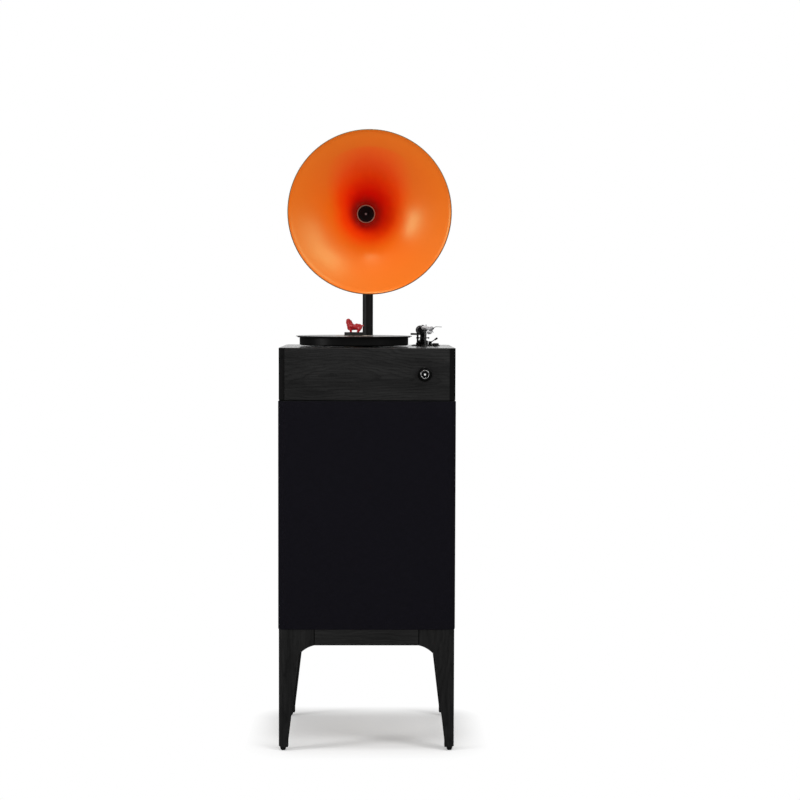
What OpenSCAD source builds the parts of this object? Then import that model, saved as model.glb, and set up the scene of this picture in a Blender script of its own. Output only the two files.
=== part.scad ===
// Floor-standing record player: leg frame, speaker box, turntable housing, tonearm and horn.
// Millimetres. The origin lies on the floor under the middle of the cabinet, +Z is up and the front faces -Y.

/* [Cabinet] */
// Width of the cabinet across its wooden sides
cabinet_w = 443; // [430:1:480]
// Depth of the cabinet from front to rear
cabinet_d = 400; // [384:1:430]
// Radius of the upright corners
corner_r = 16; // [10:1:17]

/* [Stand] */
// Height of the stand from the floor to the speaker box
stand_h = 308.5; // [280:0.5:340]
// Height of the rails between the legs
rail_h = 40; // [32:1:48]
// Thickness of the rails and of the leg shoulders
rail_t = 24; // [20:1:28]
// Width of the block at the top of each leg
leg_block_w = 90; // [84:1:100]
// Width of a leg under its shoulder
leg_top_w = 50; // [46:1:56]
// Width of a leg at its foot
leg_foot_w = 22.4; // [20:0.2:30]
// How far the shoulder reaches below the rails
shoulder_drop = 25.5; // [20:0.5:32]
// Radius of the arch in the shoulder
arch_r = 70; // [50:1:100]
// Height of a glide under the leg
glide_h = 9.5; // [8:0.5:14]
// Radius of a glide
glide_r = 7.5; // [6:0.5:9]
// Thickness of the corner blocks inside the rails
brace_t = 22; // [16:1:28]
// Radius of the bolts that hold the speaker box
bolt_r = 3; // [2.5:0.5:4]

/* [Speaker box] */
// Height of the speaker box
box_h = 575; // [540:1:640]
// Thickness of its walls
box_wall = 18; // [18:1:22]
// Thickness of the speaker cloth
cloth_t = 1.4; // [0.8:0.1:2]
// Depth of the baffle behind the front edges
baffle_inset = 12; // [8:1:20]
// Thickness of the baffle
baffle_t = 18; // [15:1:22]
// Thickness of the rear panel
rear_panel_t = 12; // [10:1:16]
// Width of the ledge that the rear panel sits in
rear_ledge = 9; // [8:0.5:10]
// Depth of the rear panel's face behind the box's edges
rear_recess = 2.5; // [2.5:0.5:6]
// Outer radius of the bass loudspeaker
woofer_r = 131; // [110:1:140]
// Height of the bass loudspeaker's centre above the box's underside
woofer_up = 360; // [330:1:370]
// Inner radius of the bass port
port_r = 32; // [25:1:40]
// Length of the bass port
port_len = 120; // [80:1:160]
// Height of the port's centre above the box's underside
port_up = 105; // [90:1:120]

/* [Turntable housing] */
// Height of the housing
housing_h = 131.5; // [120:0.5:150]
// Thickness of its walls
housing_wall = 15; // [13:1:18]
// Thickness of its top
deck_t = 15; // [12:1:18]
// Radius of its long edges
edge_r = 2; // [1:0.5:4]
// Height of the dark gap under the housing
shadow_gap = 2; // [2:0.5:5]
// Depth of that gap
shadow_depth = 5; // [3:0.5:7]
// Thickness of the bottom panel inside the walls
floor_t = 10; // [8:1:14]

/* [Volume knob] */
// Knob centre to the right of the cabinet's middle
knob_x = 144; // [100:1:165]
// Knob centre below the housing's top
knob_drop = 65.5; // [50:0.5:72]
// Radius of the knob
knob_r = 18; // [14:0.5:22]
// How far the knob stands out
knob_reach = 17; // [14:0.5:22]
// Radius of the bright ring on its front
ring_r = 10.6; // [9:0.1:11]

/* [Record drive] */
// Spindle to the right of the cabinet's middle
spindle_x = -35; // [-45:1:-25]
// Spindle behind the cabinet's middle
spindle_y = -22; // [-30:1:-16]
// Radius of the record's centre pin
pin_r = 3.57; // [3.5:0.01:3.6]
// Radius of the platter
platter_r = 140.8; // [136:0.2:146]
// Height of the platter
platter_h = 20.6; // [19:0.2:26]
// Gap under the platter
platter_gap = 3; // [2.5:0.5:6]
// Thickness of the slip mat
mat_t = 2.2; // [1:0.1:4]
// Radius of the record
record_r = 150.5; // [148:0.5:151]
// Thickness of the record
record_t = 1.8; // [1.2:0.1:2.4]
// Radius of the belt's path on the sub-platter
drive_r = 72; // [68:1:76]
// Radius of the motor pulley
pulley_r = 8; // [6:0.5:9]
// Distance from the spindle to the motor
motor_reach = 96; // [90:1:104]
// Direction from the spindle to the motor, in degrees
motor_turn = 130; // [110:1:150]
// Radius of the record weight
puck_r = 25; // [22:0.5:27]
// Height of the record weight
puck_h = 9; // [8.5:0.5:13]
// Height of the figure on the weight
figure_h = 36.5; // [30:0.5:42]

/* [Tonearm] */
// Arm pivot to the right of the cabinet's middle
arm_x = 146.5; // [143:0.5:152]
// Arm pivot behind the cabinet's middle
arm_y = 96; // [92:1:104]
// Height of the arm above the housing
arm_up = 47.5; // [46:0.5:52]
// Angle of the parked arm, outwards, in degrees
arm_turn = 5; // [3:0.5:6]
// Length of the arm's tube in front of the pivot
tube_len = 196; // [185:1:200]
// Radius of the tube at the pivot
tube_r = 5.4; // [4.5:0.1:6]
// Radius of the tube at the headshell
tube_tip_r = 4.2; // [3:0.1:4.5]
// Angle of the headshell, inwards, in degrees
head_turn = 20; // [15:1:24]
// Length of the headshell
head_len = 36; // [30:1:40]
// Width of the headshell
head_w = 13; // [12:0.5:18]
// Height of the cartridge
cartridge_h = 12.5; // [11:0.5:14]
// Radius of the counterweight
weight_r = 12.3; // [11.8:0.1:15]
// Length of the counterweight
weight_len = 22; // [18:1:26]
// Counterweight behind the pivot
weight_back = 50; // [40:1:54]
// Counterweight below the arm
weight_drop = 6.8; // [5:0.1:7]
// Radius of the arm's base disc
base_r = 38; // [36:0.5:42]
// Radius at which the lifting bar goes round the pivot
lift_r = 38; // [36:0.5:39]
// Top of the lifting bar under the tube, when it is down
lift_gap = 9; // [8:0.5:11]
// Travel of the lifting bar
lift_travel = 8; // [6:0.5:8]

/* [Horn] */
// Pole behind the cabinet's middle
pole_y = 150; // [148:1:156]
// Radius of the pole
pole_r = 14; // [12:0.5:15]
// Height of the horn's tilt axis above the housing
horn_up = 351.1; // [330:0.1:400]
// Angle that the horn is turned to the right, in degrees
horn_turn = 2.66; // [-10:0.01:10]
// Angle that the horn is tipped down, in degrees
horn_tip = 1.92; // [0:0.01:6]
// Horn's axis to the right of the pole
horn_side = -6; // [-10:1:10]
// Length of the horn from throat to mouth
horn_len = 230; // [200:1:260]
// Radius of the horn's mouth inside its lip
mouth_r = 206.9; // [180:0.1:215]
// Radius of the horn's throat
throat_r = 28; // [26:0.5:32]
// Strength of the flare: higher keeps the neck narrow for longer
flare = 3; // [2:0.1:4]
// Thickness of the horn's wall
horn_t = 3; // [2:0.1:4]
// Radius of the rolled lip
lip_r = 2.2; // [2:0.1:3]
// Radius of the horn's loudspeaker
driver_r = 36; // [34:0.5:40]
// Length of the loudspeaker behind the tilt axis
driver_len = 62; // [50:1:66]

/* [Hidden] */
$fn = 64;

// Clearances: a shaft in its bore, a part in its seat, and a cut past a face
fit = 0.05;
seat = 0.3;
past = 1;

// Heights of the main levels
rail_z = stand_h - rail_h;
box_top = stand_h + box_h;
housing_z = box_top + shadow_gap;
deck_z = housing_z + housing_h;
floor_z = housing_z + floor_t;
shoulder_z = rail_z - shoulder_drop;

// Record drive levels
platter_z = deck_z + platter_gap;
mat_z = platter_z + platter_h;
record_z = mat_z + mat_t;
puck_z = record_z + record_t;
web_t = 8;
sub_top = mat_z - web_t;
sub_z = sub_top - 9.6;
bearing_flange_t = 2.4;
shaft_r = 5;
bearing_z = deck_z - 56;

// Arm levels
arm_z = deck_z + arm_up;
disc_t = 3;
base_x = arm_x + 7.5;
base_y = arm_y - 12;
yoke_drop = 17;

// Horn levels
tilt_z = deck_z + horn_up;
throat_ahead = 20;
yoke_drop_h = 58;
swivel_h = 24;
pole_top = tilt_z - yoke_drop_h - swivel_h;
spigot_r = pole_r - 5;

// Screw that recurs in the cabinet
screw_r = 2;
screw_head_r = 4;
screw_len = 18;

wood = [0.13, 0.13, 0.13];
cloth_colour = [0.08, 0.08, 0.10];
black = [0.06, 0.06, 0.06];
steel = [0.62, 0.63, 0.65];
orange = [0.86, 0.29, 0.02];

// Points of an arc of radius r about c, from angle a to angle b
function arc_points(c, r, a, b, steps) =
    [for (i = [0:steps]) let (t = a + (b - a) * i / steps) [c[0] + r * cos(t), c[1] + r * sin(t)]];

// Right half of a box's section, with rounded edges below and above
function edge_points(half, h, low_r, high_r) = concat(
    arc_points([half - low_r, low_r], low_r, -90, 0, 4),
    arc_points([half - high_r, h - high_r], high_r, 0, 90, 4));

function mirrored(points) = concat(points, [for (i = [len(points) - 1:-1:0]) [-points[i][0], points[i][1]]]);

// Rectangle with rounded corners, centred
module rounded_rect(w, d, r) {
    square([w - 2 * r, d], center = true);
    square([w, d - 2 * r], center = true);
    for (x = [-1, 1], y = [-1, 1])
        translate([x * (w / 2 - r), y * (d / 2 - r)]) circle(r);
}

// Box with rounded upright corners and softened long edges
module soft_box(w, d, h, r, low_r, high_r) {
    rotate([90, 0, 0]) linear_extrude(d - 2 * r, center = true)
        polygon(mirrored(edge_points(w / 2, h, low_r, high_r)));
    rotate([90, 0, 90]) linear_extrude(w - 2 * r, center = true)
        polygon(mirrored(edge_points(d / 2, h, low_r, high_r)));
    for (x = [-1, 1], y = [-1, 1])
        translate([x * (w / 2 - r), y * (d / 2 - r), 0]) rotate_extrude()
            polygon(concat([[0, 0]], edge_points(r, h, low_r, high_r), [[0, h]]));
}

// Cylinder that lies along Y and grows to the front
module bar_forward(h, r1, r2) {
    rotate([90, 0, 0]) cylinder(h = h, r1 = r1, r2 = r2);
}

// Countersunk screw along +Z, its head's face at 0
module screw(grow = 0) {
    cylinder(h = screw_head_r - screw_r, r1 = screw_head_r + grow, r2 = screw_r + grow);
    cylinder(h = screw_len + grow, r = screw_r + grow);
}

// Leg in the corner at the origin: outer faces on x = 0 and y = 0
module leg_outline() {
    chord = [leg_block_w - leg_top_w, shoulder_drop];
    half = norm(chord) / 2;
    away = sqrt(arch_r * arch_r - half * half);
    centre = [leg_top_w, shoulder_z] + chord / 2 + away * [chord[1], -chord[0]] / norm(chord);
    difference() {
        polygon([[0, glide_h], [leg_foot_w, glide_h], [leg_top_w, shoulder_z], [leg_block_w, rail_z],
            [leg_block_w, stand_h], [0, stand_h]]);
        intersection() {
            translate(centre) circle(arch_r, $fn = 128);
            translate([leg_top_w, shoulder_z - past]) square([leg_block_w, shoulder_drop + past]);
        }
    }
}

module leg_plank(depth) {
    translate([0, depth, 0]) rotate([90, 0, 0]) linear_extrude(depth) leg_outline();
}

module corner_leg() {
    difference() {
        union() {
            leg_plank(rail_t);
            mirror([1, -1, 0]) leg_plank(rail_t);
            intersection() {
                leg_plank(leg_top_w);
                mirror([1, -1, 0]) leg_plank(leg_top_w);
            }
        }
        // Upright outer edge, rounded like the cabinet
        difference() {
            translate([-past, -past, 0]) cube([corner_r + past, corner_r + past, stand_h + past]);
            translate([corner_r, corner_r, -past]) cylinder(h = stand_h + 3 * past, r = corner_r);
        }
        translate([leg_foot_w / 2, leg_foot_w / 2, 0]) cylinder(h = glide_h + glide_pin_h, r = glide_pin_r);
    }
}

// Moves a corner piece to the corner on side sx, sy
module in_corner(sx, sy) {
    translate([sx * cabinet_w / 2, sy * cabinet_d / 2, 0]) mirror([sx > 0 ? 1 : 0, 0, 0])
        mirror([0, sy > 0 ? 1 : 0, 0]) children();
}

module in_corners() {
    for (x = [-1, 1], y = [-1, 1]) in_corner(x, y) children();
}

module leg_front_left() {
    color(wood) in_corner(-1, -1) corner_leg();
}

module leg_front_right() {
    color(wood) in_corner(1, -1) corner_leg();
}

module leg_rear_left() {
    color(wood) in_corner(-1, 1) corner_leg();
}

module leg_rear_right() {
    color(wood) in_corner(1, 1) corner_leg();
}

// Rail along X with a fine V down each end, where it meets a leg
module rail(len) {
    v = 0.8;
    linear_extrude(rail_h)
        polygon([[-len / 2, -rail_t / 2 + v], [-len / 2 + v, -rail_t / 2], [len / 2 - v, -rail_t / 2],
            [len / 2, -rail_t / 2 + v], [len / 2, rail_t / 2 - v], [len / 2 - v, rail_t / 2],
            [-len / 2 + v, rail_t / 2], [-len / 2, rail_t / 2 - v]]);
}

module rails_long() {
    color(wood) for (y = [-1, 1])
        translate([0, y * (cabinet_d - rail_t) / 2, rail_z]) rail(cabinet_w - 2 * leg_block_w);
}

module rails_side() {
    color(wood) for (x = [-1, 1])
        translate([x * (cabinet_w - rail_t) / 2, 0, rail_z]) rotate(90) rail(cabinet_d - 2 * leg_block_w);
}

// Corner block: fits round the leg's post, between the two shoulders
brace_reach = leg_block_w - 4;
bolt_grip = 12;

module corner_braces() {
    color([0.35, 0.28, 0.2]) in_corners() difference() {
        translate([0, 0, stand_h - brace_t]) linear_extrude(brace_t)
            polygon([[leg_top_w, rail_t], [brace_reach, rail_t], [rail_t, brace_reach], [rail_t, leg_top_w],
                [leg_top_w, leg_top_w]]);
        translate([bolt_x, bolt_y, stand_h - brace_t - past]) cylinder(h = brace_t + 2 * past, r = bolt_r + fit);
    }
}

// The bolt stands in the wider part of the block, beside the post
bolt_x = leg_top_w + (brace_reach - leg_top_w) / 3;
bolt_y = rail_t + (brace_reach - leg_top_w) / 3;

module stand_bolts() {
    head_h = 4;
    color(steel) in_corners() translate([bolt_x, bolt_y, stand_h - brace_t]) {
        translate([0, 0, -head_h]) cylinder(h = head_h, r = 1.9 * bolt_r, $fn = 6);
        cylinder(h = brace_t + bolt_grip, r = bolt_r);
    }
}

// Domed glide with a flat to stand on and a pin up into the leg
glide_pin_r = 2.5;
glide_pin_h = 14;
glide_flat_r = 3.5;

module leg_glides() {
    dome_h = glide_h - 2;
    color([0.5, 0.5, 0.5]) in_corners() translate([leg_foot_w / 2, leg_foot_w / 2, 0]) rotate_extrude()
        polygon(concat([[0, 0]],
            [for (a = [0:15:90]) [glide_flat_r + (glide_r - glide_flat_r) * sin(a), dome_h * (1 - cos(a))]],
            [[glide_r, glide_h], [glide_pin_r - fit, glide_h], [glide_pin_r - fit, glide_h + glide_pin_h - seat],
            [0, glide_h + glide_pin_h - seat]]));
}

// Speaker box: a tube of four walls with top and bottom, open to the front and rear
inner_w = cabinet_w - 2 * box_wall;
inner_h = box_h - 2 * box_wall;
box_mid = stand_h + box_h / 2;
panel_y = cabinet_d / 2 - rear_recess - rear_panel_t;
screw_line_x = inner_w / 2 + rear_ledge / 2;
screw_line_z = inner_h / 2 + rear_ledge / 2;
rear_screws = [for (x = [-1, 1], k = [-1, 0, 1]) [x * screw_line_x, box_mid + k * inner_h / 3],
    for (z = [-1, 1]) [0, box_mid + z * screw_line_z]];

module at_rear_screws() {
    for (p = rear_screws) translate([p[0], cabinet_d / 2 - rear_recess, p[1]]) rotate([90, 0, 0]) children();
}

module speaker_box() {
    color([0.25, 0.22, 0.18]) difference() {
        translate([0, 0, stand_h]) linear_extrude(box_h) rounded_rect(cabinet_w, cabinet_d, corner_r);
        translate([-inner_w / 2, -cabinet_d / 2 - past, stand_h + box_wall])
            cube([inner_w, cabinet_d + 2 * past, inner_h]);
        translate([-inner_w / 2 - rear_ledge, panel_y, stand_h + box_wall - rear_ledge])
            cube([inner_w + 2 * rear_ledge, cabinet_d, inner_h + 2 * rear_ledge]);
        at_rear_screws() screw(fit);
        in_corners() translate([bolt_x, bolt_y, stand_h - past])
            cylinder(h = bolt_grip + 2 * past, r = bolt_r + fit);
    }
}

// Cloth round the front and the sides, turned in on the rear edges
module speaker_cloth() {
    color(cloth_colour) difference() {
        translate([0, 0, stand_h]) linear_extrude(box_h)
            rounded_rect(cabinet_w + 2 * cloth_t, cabinet_d + 2 * cloth_t, corner_r + cloth_t);
        translate([0, 0, stand_h - past]) linear_extrude(box_h + 2 * past)
            rounded_rect(cabinet_w, cabinet_d, corner_r);
        translate([-inner_w / 2 - rear_ledge, cabinet_d / 2 - past, stand_h + box_wall - rear_ledge])
            cube([inner_w + 2 * rear_ledge, cloth_t + 2 * past, inner_h + 2 * rear_ledge]);
    }
}

baffle_y = -cabinet_d / 2 + baffle_inset;
woofer_z = stand_h + woofer_up;
port_z = stand_h + port_up;
cone_r = woofer_r - 17;
woofer_screw_r = woofer_r - 7;
woofer_flange_t = 4;
port_t = 3;
voice_r = 25;

// Places children at the woofer's front flange, +Z pointing into the box
module at_woofer() {
    translate([0, baffle_y, woofer_z]) rotate([-90, 0, 0]) children();
}

module at_woofer_screws() {
    at_woofer() for (a = [22.5:45:359]) rotate(a) translate([woofer_screw_r, 0, -woofer_flange_t]) children();
}

module baffle() {
    color([0.3, 0.26, 0.2]) difference() {
        translate([-inner_w / 2, baffle_y, stand_h + box_wall]) cube([inner_w, baffle_t, inner_h]);
        at_woofer() translate([0, 0, -past]) cylinder(h = baffle_t + 2 * past, r = cone_r + 4);
        translate([0, baffle_y - past, port_z]) rotate([-90, 0, 0])
            cylinder(h = baffle_t + 2 * past, r = port_r + port_t + fit);
        at_woofer_screws() screw(fit);
    }
}

module woofer_frame() {
    frame_t = 4;
    magnet_r = 0.46 * woofer_r;
    magnet_z = 72;
    magnet_h = 50;
    bore_r = voice_r + 1;
    bore_end = magnet_z + magnet_h / 2;
    vent_r = voice_r / 2;
    color([0.2, 0.2, 0.2]) difference() {
        at_woofer() rotate_extrude() polygon([[cone_r - frame_t, -woofer_flange_t], [woofer_r, -woofer_flange_t],
            [woofer_r, 0], [cone_r + 3, 0], [cone_r, baffle_t + frame_t], [magnet_r, magnet_z],
            [magnet_r, magnet_z + magnet_h], [vent_r, magnet_z + magnet_h], [vent_r, bore_end], [bore_r, bore_end],
            [bore_r, magnet_z - frame_t], [magnet_r - 2 * frame_t, magnet_z - frame_t],
            [cone_r - frame_t, baffle_t]]);
        at_woofer_screws() screw(fit);
    }
}

// Paper cone with a rolled surround and a dust cap
module woofer_cone() {
    cone_t = 1.5;
    roll_r = 7;
    roll_z = 2;
    neck_z = 56;
    cap_h = 12;
    edge = cone_r - 4.3;
    inner_edge = edge - 2 * roll_r;
    color([0.12, 0.12, 0.12]) at_woofer() rotate_extrude() polygon(concat(
        [for (a = [0:15:90]) [voice_r * sin(a), neck_z - cap_h * cos(a)]],
        [[inner_edge, roll_z]], arc_points([inner_edge + roll_r, roll_z], roll_r, 180, 360, 8),
        [[edge, roll_z + cone_t]],
        arc_points([inner_edge + roll_r, roll_z + cone_t], roll_r - cone_t, 360, 180, 8),
        [[inner_edge, roll_z + 2 * cone_t], [voice_r + cone_t, neck_z + 2], [voice_r - cone_t, neck_z + 8],
        [0, neck_z + 4]]));
}

module port_tube() {
    color([0.15, 0.15, 0.15]) translate([0, baffle_y, port_z]) rotate([-90, 0, 0]) rotate_extrude()
        polygon([[port_r + 3, -3], [port_r + 9, -2], [port_r + 10, 0], [port_r + port_t, 0],
            [port_r + port_t, port_len], [port_r, port_len], [port_r, 2]]);
}

module rear_panel() {
    gap = 0.5;
    color([0.14, 0.14, 0.14]) difference() {
        translate([0, panel_y + rear_panel_t / 2, box_mid])
            cube([inner_w + 2 * (rear_ledge - gap), rear_panel_t, inner_h + 2 * (rear_ledge - gap)], center = true);
        at_rear_screws() screw(fit);
    }
}

// Plate for the sockets, let into the housing's rear wall
plate_x = -105;
plate_z = housing_z + 52;
plate_w = 156;
plate_h = 58;
plate_t = 2;
plate_y = cabinet_d / 2 - plate_t;

module at_plate_screws() {
    for (x = [-1, 1], z = [-1, 1])
        translate([plate_x + x * (plate_w / 2 - 6), cabinet_d / 2, plate_z + z * (plate_h / 2 - 6)])
            rotate([90, 0, 0]) children();
}

// Flange of the pole, screwed to the housing's top
flange_r = 30;
flange_t = 5;

module at_flange_screws() {
    for (a = [30, 150, 270]) translate([0, pole_y, deck_z + flange_t]) rotate(a)
        translate([(flange_r + pole_r + 4) / 2, 0, 0]) rotate([180, 0, 0]) children();
}

module wood_screws() {
    color([0.2, 0.2, 0.2]) {
        at_rear_screws() screw();
        at_woofer_screws() screw();
        at_plate_screws() screw();
        at_flange_screws() screw();
    }
}

knob_z = deck_z - knob_drop;
bush_r = 3.5;
knob_shaft_r = 3;
arm_stem_r = 6;
selector_x = 178;
selector_y = 20;
selector_shaft_r = 3;
rest_back = 62;
motor_x = spindle_x + motor_reach * cos(motor_turn);
motor_y = spindle_y + motor_reach * sin(motor_turn);

module top_housing() {
    window_rim = 10;
    color(wood) difference() {
        translate([0, 0, housing_z]) soft_box(cabinet_w, cabinet_d, housing_h, corner_r, edge_r, edge_r);
        translate([0, 0, housing_z + (housing_h - deck_t - past) / 2])
            cube([cabinet_w - 2 * housing_wall, cabinet_d - 2 * housing_wall, housing_h - deck_t + past],
                center = true);
        translate([0, 0, deck_z - deck_t - past]) {
            translate([spindle_x, spindle_y, 0]) cylinder(h = deck_t + 2 * past, r = bearing_r + fit);
            translate([motor_x, motor_y, 0]) cylinder(h = deck_t + 2 * past, r = pulley_r + 3);
            translate([0, pole_y, 0]) cylinder(h = deck_t + 2 * past, r = pole_r + fit);
            translate([arm_x, arm_y, 0]) cylinder(h = deck_t + 2 * past, r = arm_stem_r + fit);
        }
        translate([selector_x, selector_y, deck_z - selector_depth - seat])
            cylinder(h = selector_depth + past, r = selector_shaft_r + fit);
        translate([knob_x, 0, knob_z]) rotate([90, 0, 0]) cylinder(h = cabinet_d, r = bush_r + fit);
        translate([plate_x, cabinet_d / 2, plate_z]) cube([plate_w, 2 * plate_t, plate_h], center = true);
        translate([plate_x, cabinet_d / 2, plate_z])
            cube([plate_w - 2 * window_rim - 4, 3 * housing_wall, plate_h - 2 * window_rim - 4], center = true);
        at_plate_screws() screw(fit);
        at_flange_screws() screw(fit);
    }
}

// Bottom panel: its rim shows as the dark gap, and its raised middle locates the walls
module housing_floor() {
    color([0.05, 0.05, 0.05]) {
        translate([0, 0, box_top]) linear_extrude(shadow_gap)
            rounded_rect(cabinet_w - 2 * shadow_depth, cabinet_d - 2 * shadow_depth, corner_r - shadow_depth + 2);
        translate([0, 0, box_top + floor_t / 2 + shadow_gap / 2])
            cube([cabinet_w - 2 * (housing_wall + seat), cabinet_d - 2 * (housing_wall + seat),
                floor_t + shadow_gap], center = true);
    }
}

// Board on four stand-offs, with heat sink and capacitors
module amplifier_board() {
    board = [cabinet_w / 4, cabinet_d / 5];
    board_t = 1.6;
    standoff_h = 8;
    fin_count = 7;
    sink_w = 38;
    sink_d = 56;
    color([0.1, 0.35, 0.15]) translate([-cabinet_w / 4, cabinet_d / 4, floor_z]) {
        for (x = [-1, 1], y = [-1, 1]) translate([x * (board[0] / 2 - 5), y * (board[1] / 2 - 5), 0])
            cylinder(h = standoff_h + board_t / 2, r = 3);
        translate([0, 0, standoff_h + board_t / 2]) cube([board[0], board[1], board_t], center = true);
        translate([-board[0] / 4, 0, standoff_h + board_t]) {
            translate([0, 0, 1.5]) cube([sink_w, sink_d, 3], center = true);
            for (i = [0:fin_count - 1]) translate([(i / (fin_count - 1) - 0.5) * (sink_w - 2), 0, 11])
                cube([1.6, sink_d, 20], center = true);
        }
        for (y = [-22, 8]) translate([22, y, standoff_h + board_t / 2]) cylinder(h = 26, r = 11);
        translate([44, 24, standoff_h + board_t + 4]) cube([12, 22, 10], center = true);
    }
}

// Ring transformer, held by a washer and a bolt
module power_transformer() {
    ring_out = 44;
    ring_in = 14;
    ring_h = 38;
    color([0.55, 0.3, 0.1]) translate([0.27 * cabinet_w, cabinet_d / 10, floor_z]) {
        rotate_extrude() polygon(concat(
            arc_points([ring_in + 6, 6], 6, 180, 270, 4), arc_points([ring_out - 8, 8], 8, -90, 0, 4),
            arc_points([ring_out - 8, ring_h - 8], 8, 0, 90, 4),
            arc_points([ring_in + 6, ring_h - 6], 6, 90, 180, 4)));
        translate([0, 0, ring_h]) cylinder(h = 2, r = 26);
        cylinder(h = ring_h + 6, r = 4);
    }
}

// Body behind the front wall, with a long bush through it
module volume_potentiometer() {
    color([0.4, 0.4, 0.42]) difference() {
        union() {
            translate([knob_x, -cabinet_d / 2 + housing_wall, knob_z]) rotate([-90, 0, 0]) cylinder(h = 10, r = 10);
            translate([knob_x, -cabinet_d / 2 + housing_wall + past, knob_z])
                bar_forward(housing_wall + past, bush_r, bush_r);
            translate([knob_x - 6, -cabinet_d / 2 + housing_wall + 3, knob_z - 16]) cube([12, 1.6, 12]);
        }
        translate([knob_x, -cabinet_d / 2 + housing_wall + 6, knob_z])
            bar_forward(housing_wall + 10, knob_shaft_r + fit, knob_shaft_r + fit);
    }
}

// Places children at the knob's centre on the front face, +Z pointing out of the cabinet
module at_knob() {
    translate([knob_x, -cabinet_d / 2, knob_z]) rotate([90, 0, 0]) children();
}

step_r = ring_r + 0.8;
ring_w = 1.1;
ring_depth = 0.8;

module volume_knob() {
    lens_r = 2.4;
    color(black) at_knob() {
        difference() {
            rotate_extrude() polygon(concat([[0, seat], [knob_r - 0.6, seat], [knob_r, 1]],
                arc_points([knob_r - 2, 6], 2, 0, 90, 5), arc_points([step_r + 3, 11], 3, 270, 180, 5),
                arc_points([step_r - 0.8, knob_reach - 0.8], 0.8, 0, 90, 3), [[0, knob_reach]]));
            translate([0, 0, knob_reach - ring_depth]) rotate_extrude()
                translate([ring_r - ring_w, 0]) square([ring_w + fit, ring_depth + past]);
        }
        translate([0, 0, -housing_wall - 4]) cylinder(h = housing_wall + 6, r = knob_shaft_r);
        translate([0, 0, knob_reach - 0.2]) cylinder(h = 0.6, r = lens_r);
    }
}

module knob_ring() {
    color(steel) at_knob() translate([0, 0, knob_reach - ring_depth]) rotate_extrude()
        translate([ring_r - ring_w + fit, 0]) square([ring_w - fit, ring_depth + 0.3]);
}

// Sockets on the plate: two phono sockets, a rocker and the mains inlet
inlet_x = plate_x + 44;
inlet_w = 24;
inlet_h = 17;
rocker_x = plate_x + 4;
rocker_w = 12;
rocker_r = 10;
rocker_in = 5;
rocker_pin_r = 1.5;
phono_x = [plate_x - 52, plate_x - 30];
phono_r = 4.15;
phono_stem_r = 3;

module at_rocker() {
    translate([rocker_x, cabinet_d / 2 - rocker_in, plate_z]) rotate([0, 90, 0]) children();
}

module socket_plate() {
    cheek_t = 2;
    color([0.3, 0.3, 0.32]) difference() {
        union() {
            translate([plate_x, plate_y + plate_t / 2, plate_z])
                cube([plate_w - 2 * seat, plate_t, plate_h - 2 * seat], center = true);
            for (x = [-1, 1]) translate([rocker_x + x * (rocker_w / 2 + seat + cheek_t / 2), plate_y - 4, plate_z])
                cube([cheek_t, 10, 12], center = true);
        }
        translate([rocker_x, cabinet_d / 2, plate_z])
            cube([rocker_w + 2 * seat, 4 * plate_t, 2 * (rocker_r + seat)], center = true);
        at_rocker() cylinder(h = 3 * rocker_w, r = rocker_pin_r + fit, center = true);
        translate([inlet_x, cabinet_d / 2, plate_z])
            cube([inlet_w + 2 * fit, 4 * plate_t, inlet_h + 2 * fit], center = true);
        for (x = phono_x) translate([x, cabinet_d / 2 + past, plate_z])
            bar_forward(plate_t + 2 * past, phono_stem_r + fit, phono_stem_r + fit);
        at_plate_screws() screw(fit);
    }
}

module mains_inlet() {
    rim = 3;
    rim_t = 2;
    depth = 18;
    wall = 1.8;
    color(black) translate([inlet_x, cabinet_d / 2, plate_z]) {
        difference() {
            union() {
                translate([0, rim_t / 2, 0]) cube([inlet_w + 2 * rim, rim_t, inlet_h + 2 * rim], center = true);
                translate([0, -depth / 2 + rim_t / 2, 0]) cube([inlet_w, depth + rim_t, inlet_h], center = true);
            }
            translate([0, rim_t + past - depth / 2, 0])
                cube([inlet_w - 2 * wall, depth - 2, inlet_h - 2 * wall], center = true);
        }
        for (p = [[-6, -1.5], [0, 2], [6, -1.5]])
            translate([p[0], -depth + 6, p[1]]) cube([1.8, 12, 4], center = true);
    }
}

// Stem through the plate, insulated collar, and the sleeve outside
module phono_sockets() {
    reach = 9;
    color([0.75, 0.68, 0.45]) for (x = phono_x)
        translate([x, cabinet_d / 2 - plate_t - 8, plate_z]) rotate([-90, 0, 0]) difference() {
            union() {
                cylinder(h = plate_t + 9, r = phono_stem_r);
                translate([0, 0, 5]) cylinder(h = 3, r = 5.5, $fn = 6);
                translate([0, 0, plate_t + 8]) cylinder(h = 1, r = 5.5);
                translate([0, 0, plate_t + 8]) cylinder(h = reach, r = phono_r);
            }
            translate([0, 0, plate_t + 10]) cylinder(h = reach, r = 1.7);
        }
}

// Rocker cut from a cylinder, so it turns freely in its window
module power_switch() {
    color([0.1, 0.1, 0.1]) at_rocker() {
        difference() {
            cylinder(h = rocker_w, r = rocker_r, center = true);
            for (s = [-1, 1]) rotate(90 + s * 50) translate([rocker_r - 2.6, -rocker_r, -rocker_w])
                cube([rocker_r, 2 * rocker_r, 2 * rocker_w]);
            translate([-rocker_r - past, -2 * rocker_r - 4, -rocker_w])
                cube([2 * (rocker_r + past), 2 * rocker_r, 2 * rocker_w]);
        }
        cylinder(h = rocker_w + 2 * (seat + 1.8), r = rocker_pin_r, center = true);
    }
}

bearing_r = 12;
bearing_flange_r = 24;

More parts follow.
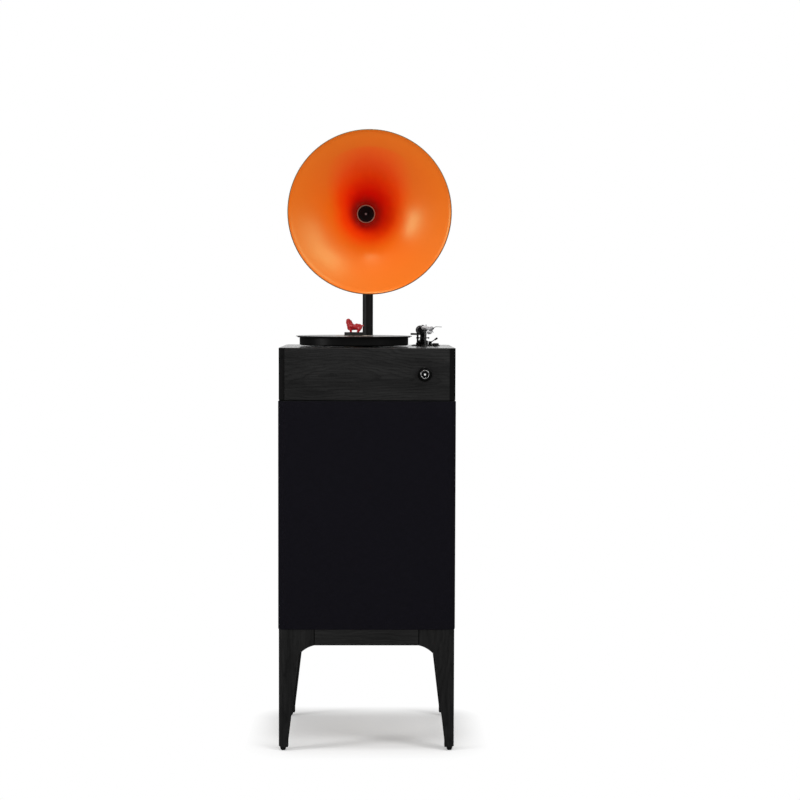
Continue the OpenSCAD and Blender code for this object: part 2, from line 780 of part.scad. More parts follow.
module platter_bearing() {
    color([0.6, 0.55, 0.4]) translate([spindle_x, spindle_y, 0]) difference() {
        union() {
            translate([0, 0, bearing_z]) cylinder(h = deck_z - bearing_z + 1, r = bearing_r);
            translate([0, 0, deck_z]) cylinder(h = bearing_flange_t, r = bearing_flange_r);
        }
        translate([0, 0, bearing_z + 4]) cylinder(h = deck_z, r = shaft_r + fit);
    }
}

module spindle() {
    collar_r = 11;
    collar_gap = 0.3;
    collar_z = deck_z + bearing_flange_t + collar_gap;
    color(steel) translate([spindle_x, spindle_y, 0]) {
        translate([0, 0, bearing_z + 4 + seat]) cylinder(h = mat_z - 1 - bearing_z - 4 - seat, r = shaft_r);
        translate([0, 0, collar_z]) cylinder(h = sub_z - collar_z, r = collar_r);
        translate([0, 0, mat_z - 2]) cylinder(h = puck_z + puck_pin_h - mat_z + 1, r = pin_r);
        translate([0, 0, puck_z + puck_pin_h - 1]) cylinder(h = 0.9, r1 = pin_r, r2 = pin_r - 0.8);
    }
}

module sub_platter() {
    rim_w = 8;
    hub_r = 16;
    recess = 4;
    color([0.45, 0.46, 0.48]) translate([spindle_x, spindle_y, 0]) difference() {
        translate([0, 0, sub_z]) cylinder(h = sub_top - sub_z, r = drive_r);
        translate([0, 0, sub_z - past]) cylinder(h = sub_top, r = shaft_r + fit);
        // Light recess round the hub, open to below
        translate([0, 0, sub_z - past]) rotate_extrude()
            translate([hub_r, 0]) square([drive_r - rim_w - hub_r, recess + past]);
    }
}

// Motor under the deck, with its pulley's shaft in the bore
motor_r = 24;
motor_h = 42;
motor_shaft_r = 1.5;
pulley_z = sub_z + 0.3;
pulley_h = 8.6;

module drive_motor() {
    color([0.5, 0.5, 0.52]) translate([motor_x, motor_y, deck_z - deck_t]) difference() {
        union() {
            translate([0, 0, -motor_h]) cylinder(h = motor_h - 2, r = motor_r);
            translate([0, 0, -2]) cylinder(h = 2, r = motor_r + 8);
            translate([0, 0, -past]) cylinder(h = 4, r = 6);
        }
        translate([0, 0, -30]) cylinder(h = 40, r = motor_shaft_r + fit);
    }
}

module motor_pulley() {
    belt_w = 4;
    color([0.72, 0.6, 0.3]) translate([motor_x, motor_y, 0]) {
        translate([0, 0, deck_z - deck_t - 29]) cylinder(h = deck_t + 29 + pulley_z - deck_z + 1, r = motor_shaft_r);
        translate([0, 0, pulley_z]) rotate_extrude() polygon([[0, 0], [pulley_r + 1, 0], [pulley_r + 1, 0.8],
            [pulley_r, 1.4], [pulley_r, 1.8 + belt_w], [pulley_r + 1, 2.4 + belt_w], [pulley_r + 1, pulley_h - 0.6],
            [pulley_r + 0.4, pulley_h], [0, pulley_h]]);
    }
}

// Outline of a belt round both wheels, grown by g
function belt_points(g) = let (lean = acos((drive_r - pulley_r) / motor_reach)) concat(
    arc_points([0, 0], drive_r + g, lean, 360 - lean, 72),
    arc_points([motor_reach, 0], pulley_r + g, -lean, lean, 24));

module drive_belt() {
    belt_w = 4;
    belt_t = 0.6;
    slack = 0.08;
    color([0.1, 0.1, 0.1]) translate([spindle_x, spindle_y, pulley_z + 1.6]) rotate(motor_turn)
        linear_extrude(belt_w) difference() {
            polygon(belt_points(belt_t + slack));
            polygon(belt_points(slack));
        }
}

// Platter: a dish turned over, so the belt runs out of sight in its underside
module platter() {
    rim_w = 12;
    recess_r = platter_r - rim_w;
    color(black) translate([spindle_x, spindle_y, platter_z]) rotate_extrude($fn = 128) polygon(concat(
        [[shaft_r + fit, platter_h - web_t], [recess_r, platter_h - web_t], [recess_r, 0]],
        [[platter_r - 2.4, 0]], [[platter_r, 2.4]],
        arc_points([platter_r - 1, platter_h - 1], 1, 0, 90, 4), [[shaft_r + fit, platter_h]]));
}

module slip_mat() {
    color([0.1, 0.1, 0.11]) translate([spindle_x, spindle_y, mat_z]) difference() {
        cylinder(h = mat_t, r = record_r - 4, $fn = 128);
        translate([0, 0, -past]) cylinder(h = mat_t + 2 * past, r = pin_r + fit);
    }
}

// Record: raised label and outer bead, dished grooved band
module record() {
    label_r = 50;
    bead_w = 3.5;
    dish = 0.25;
    color([0.05, 0.05, 0.05]) translate([spindle_x, spindle_y, record_z]) rotate_extrude($fn = 160)
        polygon([[pin_r + fit, 0], [record_r - 0.6, 0], [record_r, 0.5], [record_r, record_t - 0.5],
            [record_r - 0.6, record_t], [record_r - bead_w, record_t], [record_r - bead_w - 1, record_t - dish],
            [label_r + 3, record_t - dish], [label_r + 2, record_t], [pin_r + fit, record_t]]);
}

puck_pin_h = 7.5;

module weight_puck() {
    color([0.09, 0.09, 0.09]) translate([spindle_x, spindle_y, puck_z]) rotate_extrude() polygon(concat(
        [[0, puck_pin_h + seat], [pin_r + fit, puck_pin_h + seat], [pin_r + fit, 0], [puck_r - 1, 0], [puck_r, 1]],
        arc_points([puck_r - 1.2, puck_h - 1.2], 1.2, 0, 90, 4), [[0, puck_h]]));
}

// Body part that swells between two balls
module limb(a, ra, b, rb) {
    hull() {
        translate(a) sphere(ra);
        translate(b) sphere(rb);
    }
}

// Stocky standing animal with a mane and a blunt face, facing left, made to a height of one
module figure_shape() {
    $fn = 16;
    // Chest, belly and rump
    limb([-0.33, 0, 0.36], 0.20, [-0.06, 0, 0.37], 0.19);
    limb([-0.06, 0, 0.37], 0.19, [0.24, 0, 0.42], 0.22);
    limb([0.24, 0, 0.42], 0.22, [0.42, 0, 0.38], 0.19);
    // Neck with its mane, head and muzzle
    limb([-0.30, 0, 0.42], 0.20, [-0.37, 0, 0.74], 0.21);
    limb([-0.39, 0, 0.80], 0.17, [-0.46, 0, 0.86], 0.13);
    limb([-0.40, 0, 0.68], 0.13, [-0.48, 0, 0.70], 0.11);
    for (y = [-1, 1]) {
        limb([-0.25, y * 0.08, 0.26], 0.14, [-0.21, y * 0.11, 0.04], 0.07);
        limb([0.38, y * 0.08, 0.28], 0.15, [0.29, y * 0.11, 0.05], 0.09);
        limb([-0.37, y * 0.10, 0.90], 0.06, [-0.40, y * 0.13, 0.96], 0.04);
    }
    limb([0.55, 0, 0.47], 0.05, [0.68, 0, 0.49], 0.045);
}

module weight_figure() {
    color([0.75, 0.02, 0.02]) translate([spindle_x, spindle_y, puck_z + puck_h]) difference() {
        scale(figure_h) figure_shape();
        translate([0, 0, -figure_h]) cube([4 * puck_r, 4 * puck_r, 2 * figure_h], center = true);
    }
}

// Lifting bar's guide and the lever's lug stand on the base disc
lift_at = 22;
guide_r = 4.5;
lift_rod_r = 2;
lift_bar_t = 5;
lift_bar_w = 5;
lift_top = arm_z - lift_gap - tube_r + 0.4;
lift_low = lift_top - lift_bar_t;
lever_up = 8;
lever_x = base_x + 12;
lever_z = deck_z + lever_up;
lever_rod_r = 2;
lug = [9, 11, lever_up + 4];

// Places children at the lifting bar's rod
module at_lift() {
    translate([arm_x, arm_y, 0]) rotate(-lift_at) translate([0, -lift_r, 0]) children();
}

module arm_base() {
    color([0.1, 0.1, 0.1]) difference() {
        union() {
            translate([base_x, base_y, deck_z]) cylinder(h = disc_t, r = base_r);
            at_lift() translate([0, 0, deck_z + disc_t / 2])
                cylinder(h = lift_low - seat - deck_z - disc_t / 2, r = guide_r);
            translate([lever_x, base_y, deck_z + lug[2] / 2]) cube(lug, center = true);
        }
        at_lift() translate([0, 0, deck_z + 4]) cylinder(h = arm_up, r = lift_rod_r + fit);
        translate([lever_x, base_y + lug[1], lever_z])
            bar_forward(2 * lug[1], lever_rod_r + fit, lever_rod_r + fit);
        translate([arm_x, arm_y, deck_z - past]) cylinder(h = arm_up, r = arm_stem_r + fit);
    }
}

pillar_r = 14.6;
pillar_h = 13.4;
neck_r = 9;
swing_r = 4;
skate_up = 20.6;
skate_in = 6.5;
skate_r = 1.4;

module arm_pillar() {
    neck_top = arm_z - yoke_drop - seat;
    color([0.12, 0.12, 0.12]) translate([arm_x, arm_y, 0]) difference() {
        union() {
            translate([0, 0, deck_z - deck_t - 4]) cylinder(h = deck_t + 8, r = arm_stem_r);
            translate([0, 0, deck_z + disc_t]) rotate_extrude() polygon(concat([[0, 0], [pillar_r, 0]],
                arc_points([pillar_r - 1, pillar_h - disc_t - 1], 1, 0, 90, 3), [[neck_r, pillar_h - disc_t],
                [neck_r, neck_top - deck_z - disc_t - 0.6], [neck_r - 0.6, neck_top - deck_z - disc_t],
                [0, neck_top - deck_z - disc_t]]));
        }
        translate([0, 0, deck_z + disc_t + 2]) cylinder(h = arm_up, r = swing_r + fit);
        translate([-pillar_r, -skate_in, deck_z + skate_up]) rotate([0, 90, 0])
            cylinder(h = 2 * pillar_r, r = skate_r + fit);
    }
}

// Places children at the arm's pivot, -Y pointing along the parked arm
module at_arm() {
    translate([arm_x, arm_y, arm_z]) rotate(arm_turn) children();
}

trunnion_r = 1.5;
block_w = 14;
cheek_gap = 0.4;
cheek_t = 3;

module arm_yoke() {
    cheek_d = 11;
    cheek_top = 8.8;
    cheek_at = block_w / 2 + cheek_gap + cheek_t / 2;
    color([0.55, 0.56, 0.58]) at_arm() difference() {
        union() {
            translate([0, 0, -yoke_drop]) cylinder(h = 3, r = neck_r + 4.5);
            translate([0, 0, -yoke_drop - 22]) cylinder(h = 23, r = swing_r);
            for (x = [-1, 1]) translate([x * cheek_at, 0, -yoke_drop + 1]) rotate([0, 90, 0])
                linear_extrude(cheek_t, center = true) polygon([[0, -cheek_d / 2], [0, cheek_d / 2],
                    [-yoke_drop + 5, cheek_d / 2], [-yoke_drop + 1 - cheek_top, 2],
                    [-yoke_drop + 1 - cheek_top, -2], [-yoke_drop + 5, -cheek_d / 2]]);
        }
        rotate([0, 90, 0]) cylinder(h = 4 * block_w, r = trunnion_r + fit, center = true);
    }
}

stub_r = 4;
stub_len = 76;

module arm_tube() {
    collar_len = 9;
    block_d = 17;
    block_h = 14;
    color([0.07, 0.07, 0.07]) at_arm() {
        bar_forward(tube_len, tube_r, tube_tip_r);
        cube([block_w, block_d, block_h], center = true);
        translate([0, stub_len, 0]) bar_forward(stub_len, stub_r, stub_r);
        rotate([0, 90, 0]) cylinder(h = block_w + 2 * (cheek_gap + cheek_t), r = trunnion_r, center = true);
        translate([0, -tube_len + collar_len, 0]) bar_forward(collar_len, tube_tip_r + 1.6, tube_tip_r + 1.6);
    }
}

module counterweight() {
    groove = 0.8;
    color([0.08, 0.08, 0.08]) at_arm() difference() {
        translate([0, weight_back + weight_len / 2, -weight_drop]) rotate([90, 0, 0]) rotate_extrude()
            polygon([[0, 0], [weight_r - 1, 0], [weight_r, 1], [weight_r, 5], [weight_r - groove, 5.6],
                [weight_r - groove, 7], [weight_r, 7.6], [weight_r, weight_len - 1], [weight_r - 1, weight_len],
                [0, weight_len]]);
        translate([0, weight_back + weight_len, 0]) bar_forward(2 * weight_len, stub_r + fit, stub_r + fit);
    }
}

// Places children at the headshell's root, -Y pointing along the headshell
module at_head() {
    at_arm() translate([0, -tube_len, 0]) rotate(-head_turn) children();
}

head_t = 3;

// Tapered plate with slots over the cartridge, and the curved finger lift on its outer side
module headshell() {
    lift_reach_r = 55;
    lift_bend = 25;
    lift_d = 4.5;
    lift_t = 1.2;
    nose_w = head_w - 3;
    color([0.1, 0.1, 0.1]) {
        at_arm() translate([0, -tube_len, 0]) bar_forward(6, tube_tip_r, tube_tip_r - 1.2);
        at_head() {
            difference() {
                translate([0, 0, -head_t / 2]) linear_extrude(head_t) polygon([[-3.2, -3], [3.2, -3],
                    [head_w / 2, -11], [head_w / 2, -head_len + 7], [nose_w / 2, -head_len],
                    [-nose_w / 2, -head_len], [-head_w / 2, -head_len + 7], [-head_w / 2, -11]]);
                for (x = [-1, 1]) translate([x * 3.2, -21, 0]) cube([1.8, 9, 2 * head_t], center = true);
            }
            translate([head_w / 2 - 0.5, -head_len / 2 - 2, lift_reach_r]) rotate([90, 0, 0]) rotate(-90)
                rotate_extrude(angle = lift_bend, $fn = 360)
                    translate([lift_reach_r - lift_t / 2, -lift_d / 2]) square([lift_t, lift_d]);
        }
    }
}

// Body under the headshell with a sloping nose, a cantilever and its tip
module cartridge() {
    body_w = head_w - 1.5;
    body_len = 22;
    front = -head_len + 3;
    rod_len = 7;
    dip = 16;
    color([0.05, 0.05, 0.06]) at_head() {
        translate([-body_w / 2, 0, -head_t / 2]) rotate([90, 0, 90]) linear_extrude(body_w)
            polygon([[front, 0], [front + body_len, 0], [front + body_len, -cartridge_h + 4],
                [front + body_len - 5, -cartridge_h], [front + 4, -cartridge_h], [front, -cartridge_h + 5]]);
        translate([0, front + 8, -head_t / 2 - cartridge_h + 0.4]) rotate([90 + dip, 0, 0])
            cylinder(h = rod_len, r1 = 0.6, r2 = 0.4);
        translate([0, front + 8 - rod_len * cos(dip) + 0.3, -head_t / 2 - cartridge_h + 0.4 - rod_len * sin(dip) - 1])
            cylinder(h = 1.2, r1 = 0.12, r2 = 0.5);
    }
}

module lift_bar() {
    ends = [-2, 54];
    color([0.1, 0.1, 0.1]) {
        translate([arm_x, arm_y, lift_low]) rotate(-90 - ends[1]) rotate_extrude(angle = ends[1] - ends[0])
            translate([lift_r - lift_bar_w / 2, 0]) square([lift_bar_w, lift_bar_t]);
        at_lift() translate([0, 0, deck_z + 5]) cylinder(h = lift_low - deck_z - 4, r = lift_rod_r);
    }
}

// Axle through the lug, with a bent rod and a thick grip outside it
module lift_lever() {
    lean = 33;
    rod_len = 15;
    grip_len = 9;
    boss_t = 3;
    color([0.12, 0.12, 0.12]) translate([lever_x, base_y - lug[1] / 2 - seat, lever_z]) {
        bar_forward(boss_t, 3.2, 3.2);
        translate([0, lug[1] + seat, 0]) bar_forward(lug[1] + seat + past, lever_rod_r, lever_rod_r);
        translate([0, -boss_t / 2, 0]) rotate([0, 90 - lean, 0]) {
            cylinder(h = rod_len, r = 1.2);
            translate([0, 0, rod_len - 1]) rotate_extrude()
                polygon([[0, 0], [1.8, 0], [2.3, 1], [2.6, grip_len - 1], [2, grip_len], [0, grip_len]]);
        }
    }
}

// Post with an open cradle under the parked tube
module arm_rest() {
    post_r = 3;
    cradle_r = tube_r + 1.2;
    cradle_t = 1.8;
    cradle_w = 7;
    cradle_z = arm_z - cradle_r - cradle_t;
    color(steel) at_arm() translate([0, -rest_back, 0]) {
        translate([0, 0, deck_z - arm_z]) cylinder(h = 2, r = 6.5);
        translate([0, 0, deck_z - arm_z]) cylinder(h = cradle_z - deck_z + 1, r = post_r);
        rotate([90, 0, 0]) linear_extrude(cradle_w, center = true) difference() {
            circle(cradle_r + cradle_t);
            circle(cradle_r);
            translate([-2 * cradle_r, 2]) square([4 * cradle_r, 2 * cradle_r]);
            translate([-2 * cradle_r, -cradle_r + 0.6]) square([2 * cradle_r, 2 * cradle_r]);
        }
    }
}

// Cross rod through the pillar with a grip at one end and a ball at the other
module anti_skate_knob() {
    grip_r = 2.1;
    ball_r = 2.3;
    left = -17.5;
    right = 15.5;
    color([0.08, 0.08, 0.08]) translate([arm_x, arm_y - skate_in, deck_z + skate_up]) rotate([0, 90, 0]) {
        translate([0, 0, left]) cylinder(h = right - left, r = skate_r);
        translate([0, 0, left]) cylinder(h = 8, r = grip_r);
        translate([0, 0, right]) sphere(ball_r);
    }
}

selector_depth = 11;

module selector_knob() {
    stem_r = 5.5;
    cap_r = 9;
    color([0.1, 0.1, 0.1]) translate([selector_x, selector_y, deck_z]) {
        translate([0, 0, -selector_depth]) cylinder(h = selector_depth + 1, r = selector_shaft_r);
        translate([0, 0, seat]) rotate_extrude()
            polygon(concat([[0, 0], [stem_r, 0], [stem_r, 2.4], [cap_r - 0.5, 3]],
                arc_points([cap_r - 2.5, 5.2], 2.5, -20, 90, 6), [[0, 8]]));
    }
}

module pole() {
    bore_r = pole_r - 3;
    color([0.09, 0.09, 0.09]) translate([0, pole_y, 0]) difference() {
        union() {
            translate([0, 0, floor_z]) cylinder(h = pole_top - floor_z, r = pole_r);
            translate([0, 0, pole_top - 1]) cylinder(h = swivel_h - 3, r = spigot_r);
        }
        translate([0, 0, floor_z - past]) cylinder(h = pole_top - floor_z - 10, r = bore_r);
        translate([0, 0, pole_top - 20]) cylinder(h = 2 * swivel_h + 20, r = spigot_r - 4);
    }
}

module pole_flange() {
    color([0.09, 0.09, 0.09]) difference() {
        translate([0, pole_y, deck_z]) rotate_extrude()
            polygon([[pole_r + fit, 0], [flange_r, 0], [flange_r, flange_t - 1], [flange_r - 1, flange_t],
                [pole_r + 5, flange_t], [pole_r + 3, flange_t + 8], [pole_r + fit, flange_t + 8]]);
        at_flange_screws() screw(fit);
    }
}

// Places children at the tilt axis over the pole, turned with the horn but level
module at_swivel() {
    translate([0, pole_y, tilt_z]) rotate(horn_turn) children();
}

// Places children on the lock screw's axis behind the pole, +Z pointing back, 0 under its grip
module at_lock() {
    translate([0, spigot_r + seat + grip_pin_len, -yoke_drop_h - swivel_h / 2]) rotate([-90, 0, 0]) children();
}

module swivel_head() {
    lock_boss_r = 8;
    top_t = 3;
    color([0.09, 0.09, 0.09]) at_swivel() difference() {
        union() {
            translate([0, 0, -yoke_drop_h - swivel_h + seat]) cylinder(h = swivel_h - seat, r = pole_r + 3);
            at_lock() translate([0, 0, -grip_pin_len]) cylinder(h = grip_pin_len, r = lock_boss_r);
        }
        translate([0, 0, -yoke_drop_h - swivel_h - past]) cylinder(h = swivel_h - top_t + past, r = spigot_r + fit);
        at_lock() translate([0, 0, -grip_pin_len - past]) cylinder(h = grip_pin_len + 2 * past, r = tilt_pin_r + fit);
    }
}

boss_r = 10;
boss_w = 6;
fork_gap = 1;
fork_t = 5;
fork_at = driver_r + boss_w + fork_gap;

// Fork on the swivel head, with a bore in each arm for a tilt screw
module horn_yoke() {
    fork_d = 24;
    color([0.09, 0.09, 0.09]) at_swivel() translate([horn_side, 0, 0]) difference() {
        union() {
            translate([0, 0, -yoke_drop_h + fork_t / 2])
                cube([2 * (fork_at + fork_t), fork_d, fork_t], center = true);
            for (x = [-1, 1]) translate([x * (fork_at + fork_t / 2), 0, 0]) rotate([0, 90, 0]) {
                cylinder(h = fork_t, r = fork_d / 2, center = true);
                translate([yoke_drop_h / 2, 0, 0]) cube([yoke_drop_h, fork_d, fork_t], center = true);
            }
        }
        rotate([0, 90, 0]) cylinder(h = 4 * fork_at, r = tilt_pin_r + fit, center = true);
    }
}

tilt_pin_r = 4;
grip_pin_len = fork_t + fork_gap + boss_w;

// Screw with a lobed grip above 0 and a plain end below
module grip_screw() {
    grip_r = 11;
    grip_t = 9;
    lobes = 8;
    dent_r = 3.2;
    translate([0, 0, -grip_pin_len]) cylinder(h = grip_pin_len + 1, r = tilt_pin_r);
    difference() {
        cylinder(h = grip_t, r = grip_r);
        for (a = [0:360 / lobes:359]) rotate(a) translate([grip_r + dent_r / 2, 0, -past])
            cylinder(h = grip_t + 2 * past, r = dent_r);
    }
}

// Two that the horn tilts on, and one that locks the swivel
module grip_screws() {
    color([0.12, 0.12, 0.12]) at_swivel() {
        for (x = [-1, 1])
            translate([horn_side + x * (fork_at + fork_t), 0, 0]) rotate([0, x * 90, 0]) grip_screw();
        at_lock() grip_screw();
    }
}

// Places children on the horn's axis at the tilt axis, +Z pointing out of the mouth
module at_horn() {
    translate([0, pole_y, tilt_z]) rotate([horn_tip, 0, horn_turn]) translate([horn_side, 0, 0])
        rotate([90, 0, 0]) children();
}

// Inner radius of the horn and its slope, at the share t of its length
function bell_r(t) = throat_r + (mouth_r - throat_r) * (exp(flare * t) - 1) / (exp(flare) - 1);
function bell_slope(t) = (mouth_r - throat_r) * flare * exp(flare * t) / (exp(flare) - 1) / horn_len;
// Point on the outside of the wall
function bell_outside(t) = let (k = bell_slope(t), n = sqrt(1 + k * k))
    [bell_r(t) + horn_t / n, t * horn_len - horn_t * k / n];

module horn() {
    steps = 36;
    color(orange) at_horn() translate([0, 0, throat_ahead]) rotate_extrude($fn = 128) {
        polygon(concat([[throat_r, 0], [throat_r + horn_t + 7, 0], [throat_r + horn_t + 7, 4]],
            [for (i = [1:steps]) if (i * horn_len / steps > 5) bell_outside(i / steps)],
            [for (i = [steps:-1:1]) [bell_r(i / steps), i / steps * horn_len]]));
        translate([mouth_r, horn_len - 0.8]) circle(lip_r, $fn = 24);
    }
}

module driver_housing() {
    back = -driver_len;
    front = throat_ahead;
    color([0.08, 0.08, 0.08]) at_horn() difference() {
        union() {
            rotate_extrude() polygon([[0, back + 2], [10, back], [driver_r - 12, back], [driver_r - 10, back + 2],
                [driver_r - 8, back + 14], [driver_r, back + 22], [driver_r, front - 6],
                [throat_r + horn_t + 7, front - 6], [throat_r + horn_t + 7, front], [throat_r - 2, front],
                [throat_r - 2, front - ledge_depth], [driver_ring_in, front - ledge_depth],
                [driver_ring_in, front - 14], [0, front - 22]]);
            for (x = [-1, 1]) translate([x * (driver_r - 2 + boss_w / 2 + 1), 0, 0]) rotate([0, 90, 0])
                cylinder(h = boss_w + 2, r = boss_r, center = true);
        }
        rotate([0, 90, 0]) difference() {
            cylinder(h = 4 * driver_r, r = tilt_pin_r + fit, center = true);
            cylinder(h = 2 * (driver_r - 3), r = tilt_pin_r + 1, center = true);
        }
    }
}

driver_ring_r = 24.5;
driver_ring_in = 18.5;
ledge_depth = 6;
cone_edge_t = 1.2;

module driver_ring() {
    ring_t = 4.8;
    color([0.55, 0.45, 0.35]) at_horn() translate([0, 0, throat_ahead - ledge_depth + cone_edge_t])
        rotate_extrude() polygon(concat([[driver_ring_in, 0], [driver_ring_r, 0]],
            arc_points([driver_ring_r - 1.5, ring_t - 1.5], 1.5, 0, 90, 4),
            arc_points([driver_ring_in + 1, ring_t - 1], 1, 90, 180, 4)));
}

// Cone with its edge on the ledge, and a domed cap in the middle
module driver_cone() {
    cap_r = 6;
    cap_h = 3.4;
    depth = 9;
    inner = driver_ring_in - 1;
    color([0.05, 0.05, 0.05]) at_horn() translate([0, 0, throat_ahead - ledge_depth]) rotate_extrude()
        polygon(concat([[0, -depth - 1], [cap_r, -depth - cone_edge_t], [inner - 1, 0], [driver_ring_r, 0],
            [driver_ring_r, cone_edge_t], [inner - 1, cone_edge_t]],
            [for (a = [90:-15:0]) [cap_r * sin(a), -depth + cap_h * cos(a)]]));
}

leg_front_left();
leg_front_right();
leg_rear_left();
leg_rear_right();
rails_long();
rails_side();
corner_braces();
stand_bolts();
leg_glides();
speaker_box();
speaker_cloth();
baffle();
woofer_frame();
woofer_cone();
port_tube();
rear_panel();
wood_screws();
top_housing();
housing_floor();
amplifier_board();
power_transformer();
volume_potentiometer();
volume_knob();
knob_ring();
socket_plate();
mains_inlet();
phono_sockets();
power_switch();
platter_bearing();
spindle();
sub_platter();
drive_motor();
motor_pulley();
drive_belt();
platter();
slip_mat();
record();
weight_puck();
weight_figure();
arm_base();
arm_pillar();
arm_yoke();
arm_tube();
counterweight();
headshell();
cartridge();
lift_bar();
lift_lever();
arm_rest();
anti_skate_knob();
selector_knob();
pole();
pole_flange();
swivel_head();
horn_yoke();
grip_screws();
horn();
driver_housing();
driver_ring();
driver_cone();
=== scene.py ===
import bpy, bmesh, math
from mathutils import Matrix, Vector


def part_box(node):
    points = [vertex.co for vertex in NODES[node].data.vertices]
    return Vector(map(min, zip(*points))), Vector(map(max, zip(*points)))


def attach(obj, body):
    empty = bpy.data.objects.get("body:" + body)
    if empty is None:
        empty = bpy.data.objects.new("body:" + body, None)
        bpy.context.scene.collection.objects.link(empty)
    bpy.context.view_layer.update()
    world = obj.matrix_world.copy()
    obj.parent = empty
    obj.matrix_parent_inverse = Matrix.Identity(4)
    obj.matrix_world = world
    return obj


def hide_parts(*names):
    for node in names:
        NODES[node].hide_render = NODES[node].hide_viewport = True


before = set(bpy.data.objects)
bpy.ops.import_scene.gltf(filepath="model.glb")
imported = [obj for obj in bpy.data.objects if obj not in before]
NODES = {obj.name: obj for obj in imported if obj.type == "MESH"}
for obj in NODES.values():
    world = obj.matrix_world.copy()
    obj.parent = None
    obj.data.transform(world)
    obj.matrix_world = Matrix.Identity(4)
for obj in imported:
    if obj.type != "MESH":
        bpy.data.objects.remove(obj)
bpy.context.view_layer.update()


def rot(axis, degrees):
    return Matrix.Rotation(math.radians(degrees), 4, axis)


def place(x, y, z):
    """Translation, in millimetres."""
    return Matrix.Translation(Vector((x, y, z)) / 1000)


# Levels and places, in millimetres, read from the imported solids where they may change
def top_of(node):
    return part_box(node)[1].z * 1000


HOUSE_LO, HOUSE_HI = [c * 1000 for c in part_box("top_housing")]
WIDE, DEEP = HOUSE_HI.x - HOUSE_LO.x, HOUSE_HI.y - HOUSE_LO.y
BOX_LO, BOX_HI = [c * 1000 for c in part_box("speaker_box")]
DECK = HOUSE_HI.z
# Radius of the speaker box's upright edges
CORNER = 16
FORWARD = rot("X", 90)
# Centre of the record's spindle, and of the tonearm's pivot, which stands above the deck
SPIN = (-35, -22)
ARM_SPOT, ARM_RISE = (146.5, 96), 47.5
ARM_LONG = 196
PIVOT = place(*ARM_SPOT, DECK)
ARM = place(*ARM_SPOT, DECK + ARM_RISE) @ rot("Z", 5)
HEAD = ARM @ place(0, -ARM_LONG, 0) @ rot("Z", -20)
# The horn turns and tips, in degrees, about a point above the pole, and sits a little to one side of it
TURN, TIP, SIDE = 2.66, 1.92, -6
POLE_BACK, TILT_RISE = 150, 351.1
HORN = place(0, POLE_BACK, DECK + TILT_RISE) @ rot("Z", TURN) @ rot("X", TIP) @ place(SIDE, 0, 0) @ FORWARD
KNOB_SIDE, KNOB_HEIGHT = 144, DECK - 65.5
KNOB = place(KNOB_SIDE, -DEEP / 2, KNOB_HEIGHT) @ FORWARD


# ---------------------------------------------------------------- materials
class Graph:
    """The node graph of one material, with a Principled shader at its end."""

    def __init__(self, name, **values):
        self.m = bpy.data.materials.new(name)
        self.m.use_nodes = True
        self.t = self.m.node_tree
        self.b = self.t.nodes["Principled BSDF"]
        for k, v in values.items():
            self.put(self.b.inputs[k.replace("_", " ")], v)

    def put(self, socket, v):
        if isinstance(v, bpy.types.NodeSocket):
            self.t.links.new(v, socket)
        elif isinstance(v, (tuple, list)) and socket.type == "RGBA" and len(v) == 3:
            socket.default_value = (*v, 1)
        else:
            socket.default_value = v

    def add(self, kind, ins=None, **props):
        n = self.t.nodes.new("ShaderNode" + kind)
        for k, v in props.items():
            setattr(n, k, v)
        for k, v in (ins or {}).items():
            self.put(n.inputs[k], v)
        return n

    def math(self, op, a, b=0.0):
        return self.add("Math", {0: a, 1: b}, operation=op).outputs[0]

    def times(self, a, b):
        return self.math("MULTIPLY", a, b)

    def plus(self, a, b):
        return self.math("ADD", a, b)

    def split(self, vector):
        return self.add("SeparateXYZ", {0: vector}).outputs

    def scaled(self, vector, scale):
        return self.add("Mapping", {"Vector": vector, "Scale": scale}).outputs[0]

    def coords(self, scale=(1, 1, 1), order=None):
        """Object coordinates in metres, with their axes taken in the order given."""
        v = self.add("TexCoord").outputs["Object"]
        if order:
            s = self.split(v)
            v = self.add("CombineXYZ", {i: s["XYZ".index(c)] for i, c in enumerate(order)}).outputs[0]
        return self.scaled(v, scale)

    def radius(self, centre, axes=(0, 1)):
        """Distance in metres from a line through centre, given in millimetres for each of two axes."""
        s = self.split(self.coords())
        sq = [self.math("POWER", self.math("SUBTRACT", s[i], c / 1000), 2) for i, c in zip(axes, centre)]
        return self.math("SQRT", self.plus(*sq))

    def noise(self, vector, scale=1.0, detail=3.0, rough=0.5):
        return self.add("TexNoise", {"Vector": vector, "Scale": scale, "Detail": detail,
                                     "Roughness": rough}).outputs[0]

    def ramp(self, fac, *stops):
        n = self.add("ValToRGB", {0: fac})
        e = n.color_ramp.elements
        while len(e) < len(stops):
            e.new(0.5)
        for el, (at, c) in zip(e, stops):
            el.position = at
            el.color = (c, c, c, 1) if not isinstance(c, (tuple, list)) else (*c, 1)
        return n.outputs[0]

    def mix(self, fac, a, b):
        return self.add("Mix", {0: fac, 6: a, 7: b}, data_type="RGBA").outputs[2]

    def span(self, v, a, b, c=0.0, d=1.0):
        return self.add("MapRange", {0: v, 1: a, 2: b, 3: c, 4: d}).outputs[0]

    def bump(self, height, distance, strength=1.0):
        before = self.b.inputs["Normal"].links
        n = self.add("Bump", {"Height": height, "Distance": distance, "Strength": strength})
        if before:
            self.put(n.inputs["Normal"], before[0].from_socket)
        self.put(self.b.inputs["Normal"], n.outputs[0])

    def base(self, c):
        self.put(self.b.inputs["Base Color"], c)

    def rough(self, c):
        self.put(self.b.inputs["Roughness"], c)


def shade(c, k):
    return tuple(min(1, x * k) for x in c)


